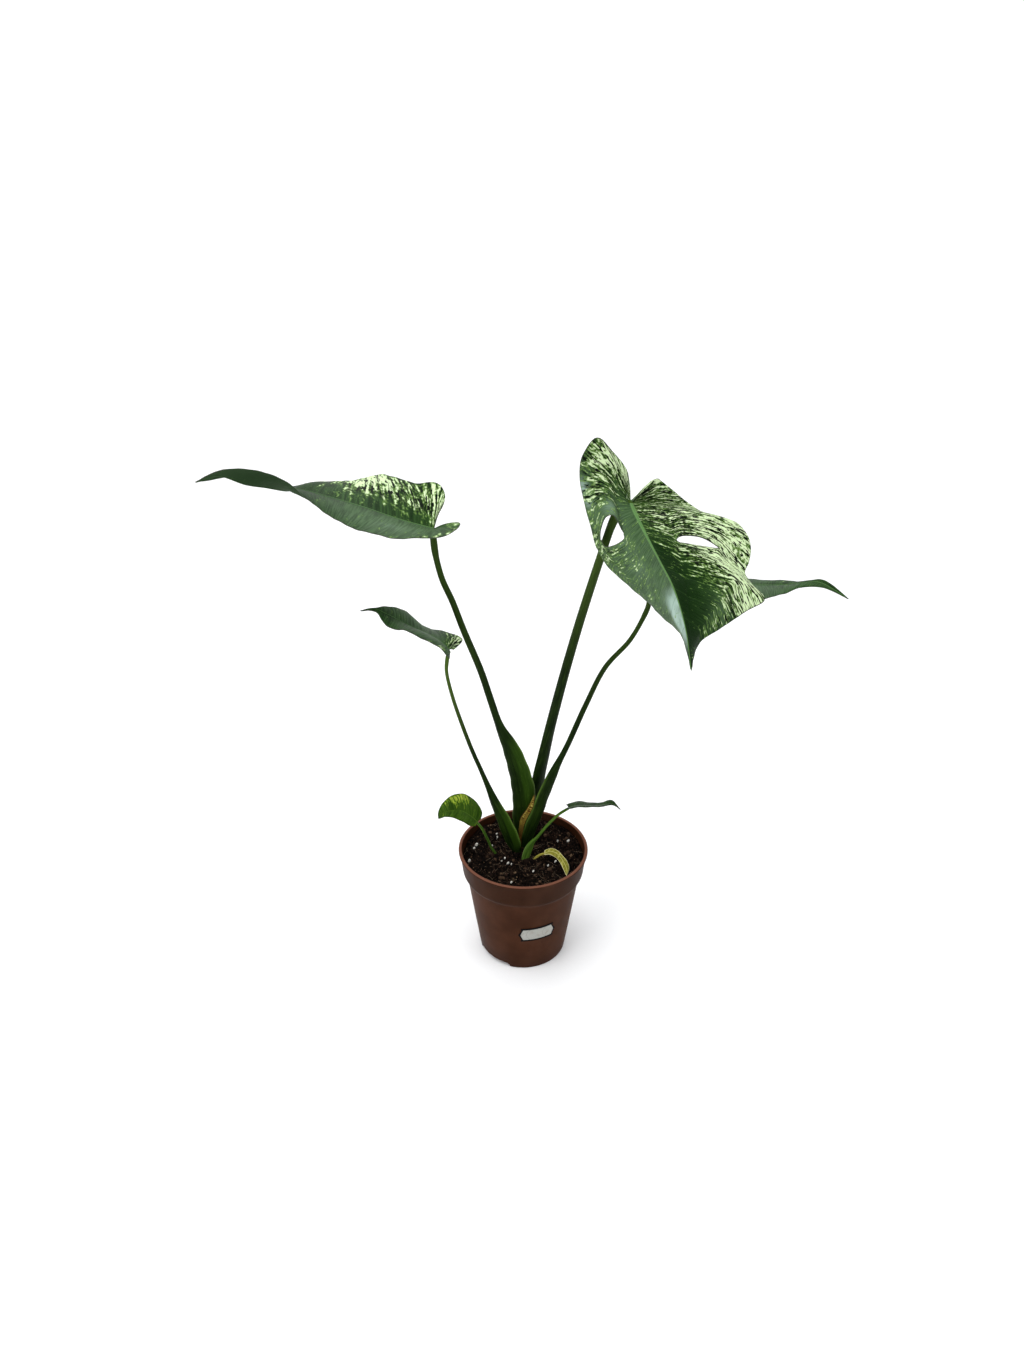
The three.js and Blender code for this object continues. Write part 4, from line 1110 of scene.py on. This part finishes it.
REAR_RIGHT = {
    "midrib": [
        (104, 10, 358), (120, 10, 368), (143, 8, 373), (184, 8, 371), (213, 8, 371),
        (228, 6, 374), (242, 4, 374), (264, 0, 362),
    ],
    "right": [
        (105, 0, 359, 0), (108, -12, 360, 0), (116, -26, 362, 0), (128, -37, 367, 0.06),
        (142, -41, 371, 0.18), (163, -36, 374, 0.36), (189, -26, 374, 0.55),
        (207, -14, 373, 0.68), (223, -2, 373, 0.78), (243, 2, 371, 0.88), (264, 0, 362, 1),
    ],
    "left": [
        (98, 22, 358, 0), (95, 35, 362, 0), (101, 50, 366, 0), (148, 54, 357, 0.1),
        (171, 52, 359, 0.26), (192, 42, 362, 0.44), (214, 28, 367, 0.62), (228, 16, 371, 0.74),
        (242, 10, 375, 0.86), (251, 6, 372, 0.93), (264, 0, 362, 1),
    ],
    "arch": 0.06, "lobe_rows": 3, "rib_rows": 16, "laterals": 9,
    "flecks": {"left": [(0.1, 0.6, 0.14, 0.5, 0.3)]},
    "sheen": {"right": [(0.45, 0.6, 0.4, 0.9, 1)], "left": [(0.4, 0.5, 0.3, 0.6, 0.7)]},
}
SMALL_LEFT = {
    "midrib": [
        (-61, -30, 331), (-68, -30, 338.5), (-78, -30, 345), (-92, -30, 352), (-104, -30, 359),
        (-113, -30, 364), (-118, -29.5, 366), (-130, -30, 365),
    ],
    "right": [
        (-58, -22, 327, 0), (-51, -10, 329, 0), (-55, -2, 330, 0), (-67, 4, 331, 0.05),
        (-80, 6, 333, 0.16), (-89, 3, 340, 0.3), (-96, -4, 352, 0.45), (-103, -10, 359, 0.58),
        (-110, -17, 363, 0.7), (-115, -24, 365.5, 0.78), (-118.5, -28, 366.6, 0.85),
        (-124, -28.8, 366.4, 0.93), (-130, -30, 365, 1),
    ],
    "left": [
        (-60, -38, 327, 0), (-62, -47, 335, 0), (-67, -53, 344, 0.04), (-76, -57, 352, 0.16),
        (-84, -58, 357, 0.3), (-92, -56, 360, 0.42), (-99, -52, 359, 0.54),
        (-107, -44.5, 358.3, 0.66), (-112.5, -38, 360.8, 0.76), (-116.5, -32.5, 364.5, 0.84),
        (-123, -31, 365.8, 0.92), (-130, -30, 365, 1),
    ],
    "arch": 0.08, "lobe_rows": 3, "rib_rows": 14, "laterals": 7,
    "flecks": {"right": [(0.14, 0.6, 0.14, 0.8, 0.72)], "left": [(0.3, 0.95, 0.12, 0.3, 0.45)]},
    "sheen": {"right": [(0.6, 0.5, 0.3, 0.6, 0.6)], "left": [(0.45, 0.5, 0.4, 0.6, 0.6)]},
    "deep": {"right": [(0.98, 0.5, 0.1, 2, 1)], "left": [(0.98, 0.5, 0.1, 2, 1)]},
}


def zone_strength(zones, towards_tip, from_rib):
    """How strong the zones are at each corner, from 0 to 1."""
    total = np.zeros_like(from_rib)
    for s, t, wide, deep, strength in zones:
        away = ((towards_tip - s) / wide) ** 2 + ((from_rib - t) / deep) ** 2
        total += strength * np.exp(-away)
    return np.clip(total, 0, 1)


def half_sheet(leaf, side, rib, shares):
    """A half's corners, row by row from beside the stalk, and what each corner knows."""
    points = np.array(leaf[side], float)
    margin = Path(points[:, :3])
    last = len(points) - 1
    first = int(np.argmax(points[:, 3] > 0)) - 1
    lobe = leaf["lobe_rows"] * FINE
    place_of_root = np.interp(shares, points[first:, 3], np.arange(first, last + 1))
    position = np.append(first * np.arange(lobe) / max(lobe, 1), place_of_root)
    root = np.concatenate([np.zeros(lobe, int), np.arange(len(shares))])
    rows, columns = len(position), len(COLUMNS)
    partings = []
    for one in leaf.get("openings", []):
        if one["half"] == side:
            line = Path(one["edges"]).listed(np.linspace(0, 1, 900))
            line[:, 0] = np.maximum.accumulate(line[:, 0])
            edges = [np.interp(COLUMNS, line[:, 0], line[:, k]) for k in (1, 2)]
            partings.append((lobe + one["vein"] * FINE, one["fading"], *edges))

    def corners(edge):
        shift = np.zeros((rows, columns))
        for row, fading, front, back in partings:
            apart = position - position[row]
            beyond = (apart > 0) | ((apart == 0) & (edge > 0))
            near = np.where(beyond[:, None], back, front)
            shift += near * np.exp(-np.abs(apart) / fading)[:, None]
        point = margin.listed((position[:, None] + shift) / last)
        start = rib.spaced(shares[root])[:, None]
        along = rib.heading(shares[root])[:, None]
        reach = point - start
        lengthwise = along * (reach * along).sum(-1, keepdims=True)
        across = reach - lengthwise
        up = unit(np.cross(across, np.broadcast_to(along, across.shape)))
        up *= 1 if side == "right" else -1
        bend = start + VEIN_SPREAD * across + VEIN_DIRECTION * lengthwise
        arch = leaf["arch"] * np.minimum((position + 1) / (first + 1), 1)
        bend = bend + up * arch[:, None, None] * np.linalg.norm(reach, axis=-1, keepdims=True)
        t = COLUMNS[None, :, None]
        return (1 - t) ** 2 * start + 2 * t * (1 - t) * bend + t**2 * point

    before, after = corners(-1), corners(1)
    middle = before[:, MIDDLE_COLUMN]
    steps = np.linalg.norm(np.diff(middle, axis=0), axis=1)
    across_veins = np.append(0, np.cumsum(steps))
    distance = np.linalg.norm(before - before[:, :1], axis=-1)
    towards_tip = np.arange(rows) / (rows - 1)
    grid = np.broadcast_arrays(towards_tip[:, None], COLUMNS[None], across_veins[:, None])
    known = np.stack([grid[0], grid[1], grid[2], distance], -1)
    return before, after, known, root, partings


def blade_piece(name, leaf, wave=0.3, quilt=0.5, thickness=BLADE_THICKNESS, rib_width=1,
                grain=1):
    """A blade with thickness, rib, quilting and waves. A larger grain makes finer flecks."""
    rib = Path(leaf["midrib"])
    count = leaf["rib_rows"] * FINE
    shares = (np.arange(count + 1) / count) ** ROOT_CROWDING
    corners = [rib.spaced(shares)]
    known = [np.stack([shares, shares * 0, shares * 0, shares * 0], -1)]
    halves = [np.zeros(count + 1)]
    total, faces = count + 1, []
    for side, number in HALVES.items():
        before, after, facts, root, partings = half_sheet(leaf, side, rib, shares)
        rows, columns = before.shape[:2]
        near = np.empty((rows, columns), int)
        near[:] = root[:, None]
        body = before[:-1, 1:].reshape(-1, 3)
        near[:-1, 1:] = total + np.arange(len(body)).reshape(rows - 1, -1)
        corners.append(body)
        known.append(facts[:-1, 1:].reshape(-1, 4))
        total += len(body)
        far = near.copy()
        for row, _, front, back in partings:
            open_here = np.flatnonzero(back - front > LEAST_OPENING)
            near[row, open_here] = total + np.arange(len(open_here))
            corners.append(after[row, open_here])
            known.append(facts[row, open_here])
            total += len(open_here)
        halves.append(np.full(total - sum(map(len, halves)), number))
        for r in range(rows - 1):
            for c in range(columns - 1):
                loop = [near[r, c], near[r, c + 1], far[r + 1, c + 1], far[r + 1, c]]
                loop = [a for k, a in enumerate(loop) if a != loop[k - 1]]
                if len(loop) > 2:
                    faces.append(loop if side == "right" else loop[::-1])
    corners, known, halves = np.vstack(corners), np.vstack(known), np.concatenate(halves)
    tip_share, t, u, v = known.T
    normals = sheet_normals(corners, faces)
    rim = rim_edges(faces)
    edge_points = corners[[a for a, b in rim]]
    edge = np.min(np.linalg.norm(corners[:, None] - edge_points[None], axis=-1), axis=1)
    lateral = tip_share * leaf["laterals"] + 0.3 * halves
    bulge = np.abs(np.sin(np.pi * lateral)) ** 0.7 * np.sin(np.pi * np.clip(t, 0, 1)) ** 0.7
    lift = quilt * (bulge - 0.4 * (t > 0))
    lift += wave * t**3 * (np.sin(u * 0.21 + halves * 2) + 0.5 * np.sin(u * 0.53))
    lift *= np.clip(v / 4, 0, 1)
    corners = corners + normals * lift[:, None]
    normals = sheet_normals(corners, faces)
    ridge_width = rib_width * (1 - 0.65 * tip_share)
    ridge = np.clip(1 - (v / ridge_width) ** 2, 0, 1)
    above, below = (
        (thickness / 2 + height * ridge * ridge_width / rib_width)[:, None]
        for height in (RIDGE_ABOVE, RIDGE_BELOW)
    )
    upper, lower = corners + normals * above, corners - normals * below
    outward = np.zeros_like(corners)
    for a, b in rim:
        away = unit(np.cross(corners[b] - corners[a], normals[a]))
        outward[a] += away
        outward[b] += away
    rim_corners = sorted({corner for pair in rim for corner in pair})
    place = {corner: 2 * total + k for k, corner in enumerate(rim_corners)}
    middle = (upper[rim_corners] + lower[rim_corners]) / 2
    middle = middle + unit(outward[rim_corners]) * thickness * RIM_REACH
    everything = np.vstack([upper, lower, middle])
    low, high = (np.array(corner) / MM for corner in cad_box)
    everything = np.clip(everything, low, high)
    loops = [tuple(loop) for loop in faces]
    loops += [tuple(corner + total for corner in reversed(loop)) for loop in faces]
    for a, b in rim:
        loops.append((b, a, place[a], place[b]))
        loops.append((place[b], place[a], a + total, b + total))
    piece = new_piece(name, everything, loops)
    pick = np.concatenate([np.arange(total), np.arange(total), rim_corners])
    face = np.concatenate([np.ones(total), np.zeros(total), np.full(len(rim_corners), 0.5)])
    for kind in ("flecks", "sheen", "deep"):
        zones = np.zeros(total)
        for side, number in HALVES.items():
            here, listed = halves == number, leaf.get(kind, {}).get(side, [])
            zones[here] = zone_strength(listed, tip_share[here], t[here])
        store(piece, kind, zones[pick])
    store(piece, "vein", np.stack([u * grain, v * grain, halves * 50], -1)[pick])
    store(piece, "lateral", lateral[pick])
    store(piece, "rib", (v / ridge_width + 0.5 * tip_share)[pick])
    store(piece, "edge", edge[pick])
    store(piece, "reach", t[pick])
    store(piece, "upper", face)
    smoothed(piece, 80)
    return piece


def sheet_normals(corners, faces):
    """The direction each corner of an open sheet faces."""
    normals = np.zeros_like(corners)
    by_size = {}
    for loop in faces:
        by_size.setdefault(len(loop), []).append(loop)
    for loops in by_size.values():
        loops = np.array(loops)
        for k in range(2, loops.shape[1]):
            a, b, c = loops[:, 0], loops[:, k - 1], loops[:, k]
            normal = np.cross(corners[b] - corners[a], corners[c] - corners[a])
            for corner in (a, b, c):
                np.add.at(normals, corner, normal)
    return unit(normals)


def rim_edges(faces):
    """The edges that only one face has, which run round the sheet and its openings."""
    edges = {(a, b) for loop in faces for a, b in zip(loop, loop[1:] + loop[:1])}
    return sorted((a, b) for a, b in edges if (b, a) not in edges)


def leaf_finish(name, seed, dark, mid, grey, painted_highlight_and_pale_straw, lime, pale, black, rib_green, margin):
    """Green from dark to mid, a painted grey sheen and painted highlight on it, and flecks of lime,
    pale and black.
    """
    material, start = new_finish(name)
    vein = from_mesh(start, "vein", "Vector").vector("ADD", (0, 0, seed))
    names = ("flecks", "sheen", "deep", "upper", "rib", "edge", "lateral", "reach")
    flecks, sheen, deep, upper, rib, edge, lateral, reach = (from_mesh(start, n) for n in names)

    cloudy = vein.scaled(0.06, 0.04, 1).cloud(1, 3)
    threads = vein.scaled(1.1, 0.06, 1).cloud(1, 4)
    # Where the sheen zones lie, grey and a paler highlight are painted on as a painted reflection
    # of the light. On the dried sheath the same zones give its straw tip instead.
    color = (cloudy * 0.4 + threads * 0.6).rises(0.38, 0.64).tints(dark, mid).coated(
        (sheen * (0.5 + threads.rises(0.35, 0.65) * 0.5), grey),
        (sheen.rises(0.7, 1.05) * cloudy.rises(0.25, 0.55), painted_highlight_and_pale_straw), (deep * 0.9, dark),
    )

    cover = flecks + (vein.scaled(0.12, 0.03, 1).cloud(1, 2) - 0.5) * 0.5
    near = 1 - reach.rises(0.1, 0.8)
    streak = vein.scaled(0.45, 0.08, 1).cloud(1, 4)
    dots = vein.scaled(0.7, 0.35, 1).cloud(1, 3)
    mix = streak * 0.6 + dots * 0.4 + cover * 0.33
    spots = mix.rises(0.67, 0.73)
    dashes = vein.scaled(0.6, 0.14, 2).cloud(1, 4) + near * 0.045
    dashes = dashes.rises(0.56, 0.6) * cover.rises(0.28, 0.45)
    stripes = vein.scaled(0.6, 0.035, 4).cloud(1, 3) + near * 0.045
    stripes = stripes.rises(0.565, 0.6) * cover.rises(0.3, 0.5)
    color = color.coated(
        (cover.rises(0.3, 0.5) * (0.3 + near * 0.6), dark), (mix.rises(0.59, 0.67) * 0.85, lime),
        (spots * 0.95, pale), (dashes.math("MAXIMUM", dashes, stripes), black),
    )

    nearest = lateral.math("PINGPONG", lateral, 0.5)
    line = 1 - nearest.rises(0.008, 0.03)
    ridge = 1 - rib.rises(0.55, 1.15)
    under = 1 - upper.rises(0.4, 0.6)
    # The deep zones darken the blade, the underside too: painted shade and a deeper green.
    color = color.coated(
        (line * 0.3 * (1 - cover.rises(0.1, 0.4)), mid),
        (ridge * 0.85 * (1 - deep.rises(0.3, 0.7)), rib_green),
        (1 - edge.rises(0.15, 0.5), margin), (under * 0.5, grey), (deep * under * 0.8, dark),
    )

    cells = vein.node("ShaderNodeTexVoronoi", {"feature": "DISTANCE_TO_EDGE"}, {
        "Vector": vein.scaled(0.9, 0.45, 1), "Scale": 1.0,
    }, "Distance")
    height = threads * 0.5 + cells.rises(0, 0.12) * 0.25 - line * 0.5 + spots * 0.15
    roughness = 0.38 + under * 0.2 + cloudy * 0.12 + spots * 0.06
    end_finish(start, color, roughness, height, 0.0002, Specular_IOR_Level=0.02)
    return material


# Here the grey is both the painted sheen and the paler underside, and the pale blue-grey is a
# painted highlight.
variegated = leaf_finish(
    "leaf_variegated", 0, dark=(12, 34, 6), mid=(46, 76, 32), grey=(88, 112, 82),
    painted_highlight_and_pale_straw=(160, 184, 172), lime=(96, 128, 62), pale=(202, 222, 174),
    black=(3, 14, 2), rib_green=(96, 134, 78), margin=(62, 66, 56),
)
LEAVES = {
    "blade_large_left": (LARGE_LEFT, 1.2, 0.65), "blade_large_right": (LARGE_RIGHT, 2.4, 1.15),
    "blade_rear_right": (REAR_RIGHT, 1, 1), "blade_small_left": (SMALL_LEFT, 0.8, 0.9),
}
for node, (leaf, rib_width, grain) in LEAVES.items():
    piece = blade_piece(node.replace("blade", "leaf"), leaf, rib_width=rib_width, grain=grain)
    fixed(piece, node, variegated)


# Two seedling leaves stand low on thin stalks of their own. The left one is a soft cupped
# leaf with a yellow patch, and the right one, narrow and dark, leaves a short sheath.
SEEDLING_LEFT = {
    "midrib": [
        (-42, -6, 144), (-48, -8, 152), (-57, -12, 161), (-67, -16, 163), (-74, -19, 162),
        (-76, -20, 158),
    ],
    "right": [
        (-39, -2, 145, 0), (-38, 3, 149, 0), (-42, 7, 156, 0.05), (-50, 7, 164, 0.22),
        (-57, 3, 169, 0.4), (-65, -3, 171, 0.58), (-72, -9, 168, 0.74), (-76, -16, 163, 0.9),
        (-76, -20, 158, 1),
    ],
    "left": [
        (-44, -12, 144, 0), (-48, -17, 148, 0.06), (-54, -21, 155, 0.3), (-63, -24, 162, 0.55),
        (-69, -24, 163, 0.78), (-74.5, -22, 159.5, 0.93), (-76, -20, 158, 1),
    ],
    "arch": 0.1, "lobe_rows": 1, "rib_rows": 10, "laterals": 5,
    "flecks": {"right": [(0.62, 0.75, 0.2, 0.35, 0.85)], "left": [(0.1, 0.5, 0.12, 0.5, 0.4)]},
    "deep": {"right": [(1, 0.5, 0.06, 2, 1)], "left": [(1, 0.5, 0.06, 2, 1)]},
}
SEEDLING_RIGHT = {
    "midrib": [
        (42, 12, 147), (52, 10, 151), (64, 8, 152), (74, 7, 154), (82, 5, 156), (89, 4, 151),
    ],
    "right": [
        (39, 8, 149, 0), (42, 2, 153, 0), (49, -2, 158, 0.1), (60, -4, 159, 0.35),
        (71, -3, 159, 0.6), (80, 0, 159, 0.8), (89, 4, 151, 1),
    ],
    "left": [
        (40, 16, 148, 0), (43, 21, 146, 0), (51, 23, 147, 0.1), (62, 22, 146, 0.35),
        (73, 17, 150, 0.6), (81, 10, 157, 0.82), (89, 4, 151, 1),
    ],
    "arch": 0.1, "lobe_rows": 1, "rib_rows": 10, "laterals": 5,
    "flecks": {"right": [(0.4, 0.6, 0.3, 0.5, 0.3)]},
}
SEEDLING_STALKS = {
    "left": {
        "path": [
            (-22, 5.5, 90), (-26, 4, 101), (-29.5, 3, 108), (-33, 1.5, 119), (-38, -2, 134),
            (-43, -6.5, 145),
        ],
        "outward": (0, -1, 0), "stations": [(0, 1.2, 1.2, 1.2), (1, 1.05, 1.05, 1.05)],
    },
    "right": {
        "path": [
            (0.5, -4, 90), (2, -3, 100), (4.5, -1.5, 109), (8.5, 0, 117), (13, 1.5, 121.5),
            (22, 5, 132), (32.5, 8.5, 142), (43, 12, 147.4),
        ],
        "outward": (0.2, -1, 0),
        "stations": [
            (0, 1.8, 1.8, 1.8), (0.12, 3.6, 2.2, -0.6), (0.25, 4, 2.2, -0.8), (0.34, 3.2, 2, -0.2),
            (0.42, 1.3, 1.3, 1.3), (1, 1.2, 1.2, 1.2),
        ],
    },
}
fresh = leaf_finish(
    "leaf_fresh", 7, dark=(32, 56, 8), mid=(60, 88, 24), grey=(96, 124, 66),
    painted_highlight_and_pale_straw=(120, 150, 90), lime=(104, 130, 34), pale=(148, 164, 56),
    black=(58, 92, 22), rib_green=(84, 116, 40), margin=(34, 52, 14),
)
dusky = leaf_finish(
    "leaf_dusky", 12, dark=(20, 38, 14), mid=(44, 66, 34), grey=(80, 98, 72),
    painted_highlight_and_pale_straw=(110, 130, 104), lime=(64, 90, 46), pale=(110, 134, 82),
    black=(14, 28, 10), rib_green=(70, 94, 52), margin=(18, 24, 12),
)
young_stalk = stalk_finish(
    "stalk_young", (44, 70, 20), (76, 108, 36), (60, 92, 26), (136, 160, 90),
)
for side, leaf, finish in (("left", SEEDLING_LEFT, fresh), ("right", SEEDLING_RIGHT, dusky)):
    node = "seedling_" + side
    blade = blade_piece(node + "_leaf", leaf, wave=0.25, quilt=0.25, thickness=0.5, rib_width=0.7)
    fixed(blade, node, finish)
    stem = stalk_piece(node + "_stalk", steps=70, facets=9, knee=0, **SEEDLING_STALKS[side])
    fixed(stem, node, young_stalk)


# The yellow leaf is the oldest, small, limp and soft. It lies over the soil towards the rim,
# on a thin stalk of its own.
YELLOW = {
    "midrib": [
        (20, -4, 107), (25.5, -6.5, 111), (30.5, -10.5, 112), (35, -17, 111), (38, -24, 109),
        (39.5, -29, 107), (39, -33, 104),
    ],
    "right": [
        (20, -6, 107, 0), (25, -9.5, 110, 0.14), (29.5, -13.5, 110, 0.32),
        (32.5, -18, 109.5, 0.5), (35, -23, 108, 0.66), (37, -28, 106, 0.82), (39, -33, 104, 1),
    ],
    "left": [
        (20, -2, 109, 0), (26, -2.5, 112, 0.14), (31.5, -7, 112.5, 0.32), (37, -14.5, 111, 0.52),
        (40.5, -21, 109.5, 0.68), (41.5, -26.5, 107.5, 0.84), (39, -33, 104, 1),
    ],
    "arch": 0.04, "lobe_rows": 0, "rib_rows": 8, "laterals": 4,
    "flecks": {"right": [(0.5, 0.6, 0.5, 0.6, 0.5)], "left": [(0.5, 0.6, 0.5, 0.6, 0.5)]},
}
yellowed = leaf_finish(
    "leaf_yellowed", 19, dark=(98, 96, 30), mid=(124, 122, 48), grey=(134, 130, 76),
    painted_highlight_and_pale_straw=(190, 186, 120), lime=(152, 148, 68), pale=(184, 180, 108),
    black=(128, 122, 46), rib_green=(190, 186, 110), margin=(206, 200, 150),
)
blade = blade_piece("yellow_leaf_blade", YELLOW, wave=0.3, quilt=0.2, thickness=0.5, rib_width=0.6)
fixed(blade, "yellow_leaf", yellowed)
stem = stalk_piece(
    "yellow_leaf_stalk", [(6, -3, 91), (10, -3, 99), (15, -3, 104), (20.5, -4.2, 107.3)],
    (0, -1, 0), [(0, 1.2, 1.2, 1.2), (1, 1, 1, 1)], steps=50, facets=9, knee=0,
)
fixed(stem, "yellow_leaf", stalk_finish(
    "stalk_yellowed", (136, 128, 52), (172, 162, 78), (172, 162, 78),
    (198, 188, 120),
))


# The dried sheath is a papery remnant of a fallen leaf, brown at the foot and straw at the
# tip, pressed between the feet of the stalks.
DRIED = {
    "midrib": [
        (-2.6, 12.5, 92), (-2.8, 12.5, 108), (-2.4, 12, 120), (-0.5, 12, 130), (4.5, 12, 145),
        (10.5, 12, 162),
    ],
    "right": [
        (-1.6, 12.5, 92, 0), (-1.7, 12.5, 108, 0.15), (-0.4, 12, 121, 0.3), (1.6, 12, 130, 0.5),
        (5.2, 12, 139, 0.65), (9.2, 12, 149, 0.82), (10.5, 12, 162, 1),
    ],
    "left": [
        (-3.6, 12.5, 92, 0), (-3.9, 12.5, 108, 0.15), (-4, 12.5, 122, 0.3),
        (-3.4, 12.5, 130, 0.45), (-1.6, 12.5, 137, 0.6), (3.2, 12.5, 145, 0.75),
        (8.4, 12, 157, 0.9), (10.5, 12, 162, 1),
    ],
    "arch": 0.1, "lobe_rows": 0, "rib_rows": 9, "laterals": 5,
    "flecks": {"right": [(0.9, 0.5, 0.35, 0.8, 0.5)], "left": [(0.9, 0.5, 0.35, 0.8, 0.5)]},
    # On this sheath the sheen zones paint no light: they tint the tip straw and paler straw.
    "sheen": {"right": [(1, 0.5, 0.45, 1, 1)], "left": [(1, 0.7, 0.45, 1, 1.2)]},
}
papery = leaf_finish(
    "sheath_papery", 31, dark=(60, 30, 12), mid=(108, 64, 28), grey=(150, 140, 58),
    painted_highlight_and_pale_straw=(176, 168, 84), lime=(136, 112, 44), pale=(176, 164, 84),
    black=(66, 32, 14), rib_green=(120, 84, 40), margin=(84, 52, 26),
)
sheath = blade_piece(
    "dried_sheath_paper", DRIED, wave=0.2, quilt=0.15, thickness=0.4, rib_width=0.5,
)
fixed(sheath, "dried_sheath", papery)


# The studio is a plain pale sheet of paper that lies flat under the pot and curves up behind
# it. Soft white light falls from above and from both sides of the camera.
SHEET_RUN = 1.1
SHEET_BEND = 0.9
SHEET_HALF_WIDTH = 3.5
PHOTO_HEIGHT = 1364
FOCAL_LENGTH = 1025
CAMERA_TURN = math.radians(61.9)


def floor_finish():
    material, start = new_finish("studio_floor")
    place = object_place(start)
    grain = place.cloud(8, 3)
    color = grain.rises(0.3, 0.7).tints((247, 247, 247), (250, 250, 250))
    end_finish(start, color, 0.7 + grain * 0.1, place.cloud(200, 2), 0.0001)
    return material


bend = [
    (SHEET_RUN + SHEET_BEND * math.sin(a), SHEET_BEND - SHEET_BEND * math.cos(a))
    for a in np.linspace(0, math.pi / 2, 24)
]
sheet_line = [(-3, 0)] + bend + [(SHEET_RUN + SHEET_BEND, 3.5)]
corners = [(x, y, z) for y, z in sheet_line for x in (-SHEET_HALF_WIDTH, SHEET_HALF_WIDTH)]
faces = [(2 * k, 2 * k + 1, 2 * k + 3, 2 * k + 2) for k in range(len(sheet_line) - 1)]
backdrop = new_piece("studio_sheet", corners, faces, scale=1)
backdrop.data.shade_smooth()
backdrop.data.materials.append(floor_finish())


def soft_light(name, place, target, size, power):
    light = bpy.data.lights.new(name, "AREA")
    light.shape = "RECTANGLE"
    light.size, light.size_y = size
    light.energy = power
    lamp = bpy.data.objects.new(name, light)
    lamp.location = place
    lamp.rotation_euler = (Vector(target) - Vector(place)).to_track_quat("-Z", "Y").to_euler()
    bpy.context.scene.collection.objects.link(lamp)


soft_light("overhead", (-0.3, -0.1, 2.2), (0, 0, 0.2), (3, 3), 60)
soft_light("front_left", (-1.9, -1.1, 1.3), (0, 0, 0.2), (2, 2), 26)
soft_light("front_right", (2, -0.9, 1.1), (0, 0, 0.2), (1.8, 2), 16)

world = bpy.data.worlds.new("studio_air")
world.use_nodes = True
air = world.node_tree.nodes["Background"].inputs
air["Color"].default_value = (0.93, 0.95, 1, 1)
air["Strength"].default_value = 0.4
bpy.context.scene.world = world
bpy.context.scene.view_settings.view_transform = "Standard"

camera = bpy.data.objects.new("photo_camera", bpy.data.cameras.new("photo_camera"))
camera.location = (-0.0104, -0.769, 0.696)
camera.rotation_euler = (CAMERA_TURN, 0, 0)
camera.data.sensor_width = 36
camera.data.lens = FOCAL_LENGTH / PHOTO_HEIGHT * camera.data.sensor_width
camera.data.dof.use_dof = False
bpy.context.scene.collection.objects.link(camera)
bpy.context.scene.camera = camera
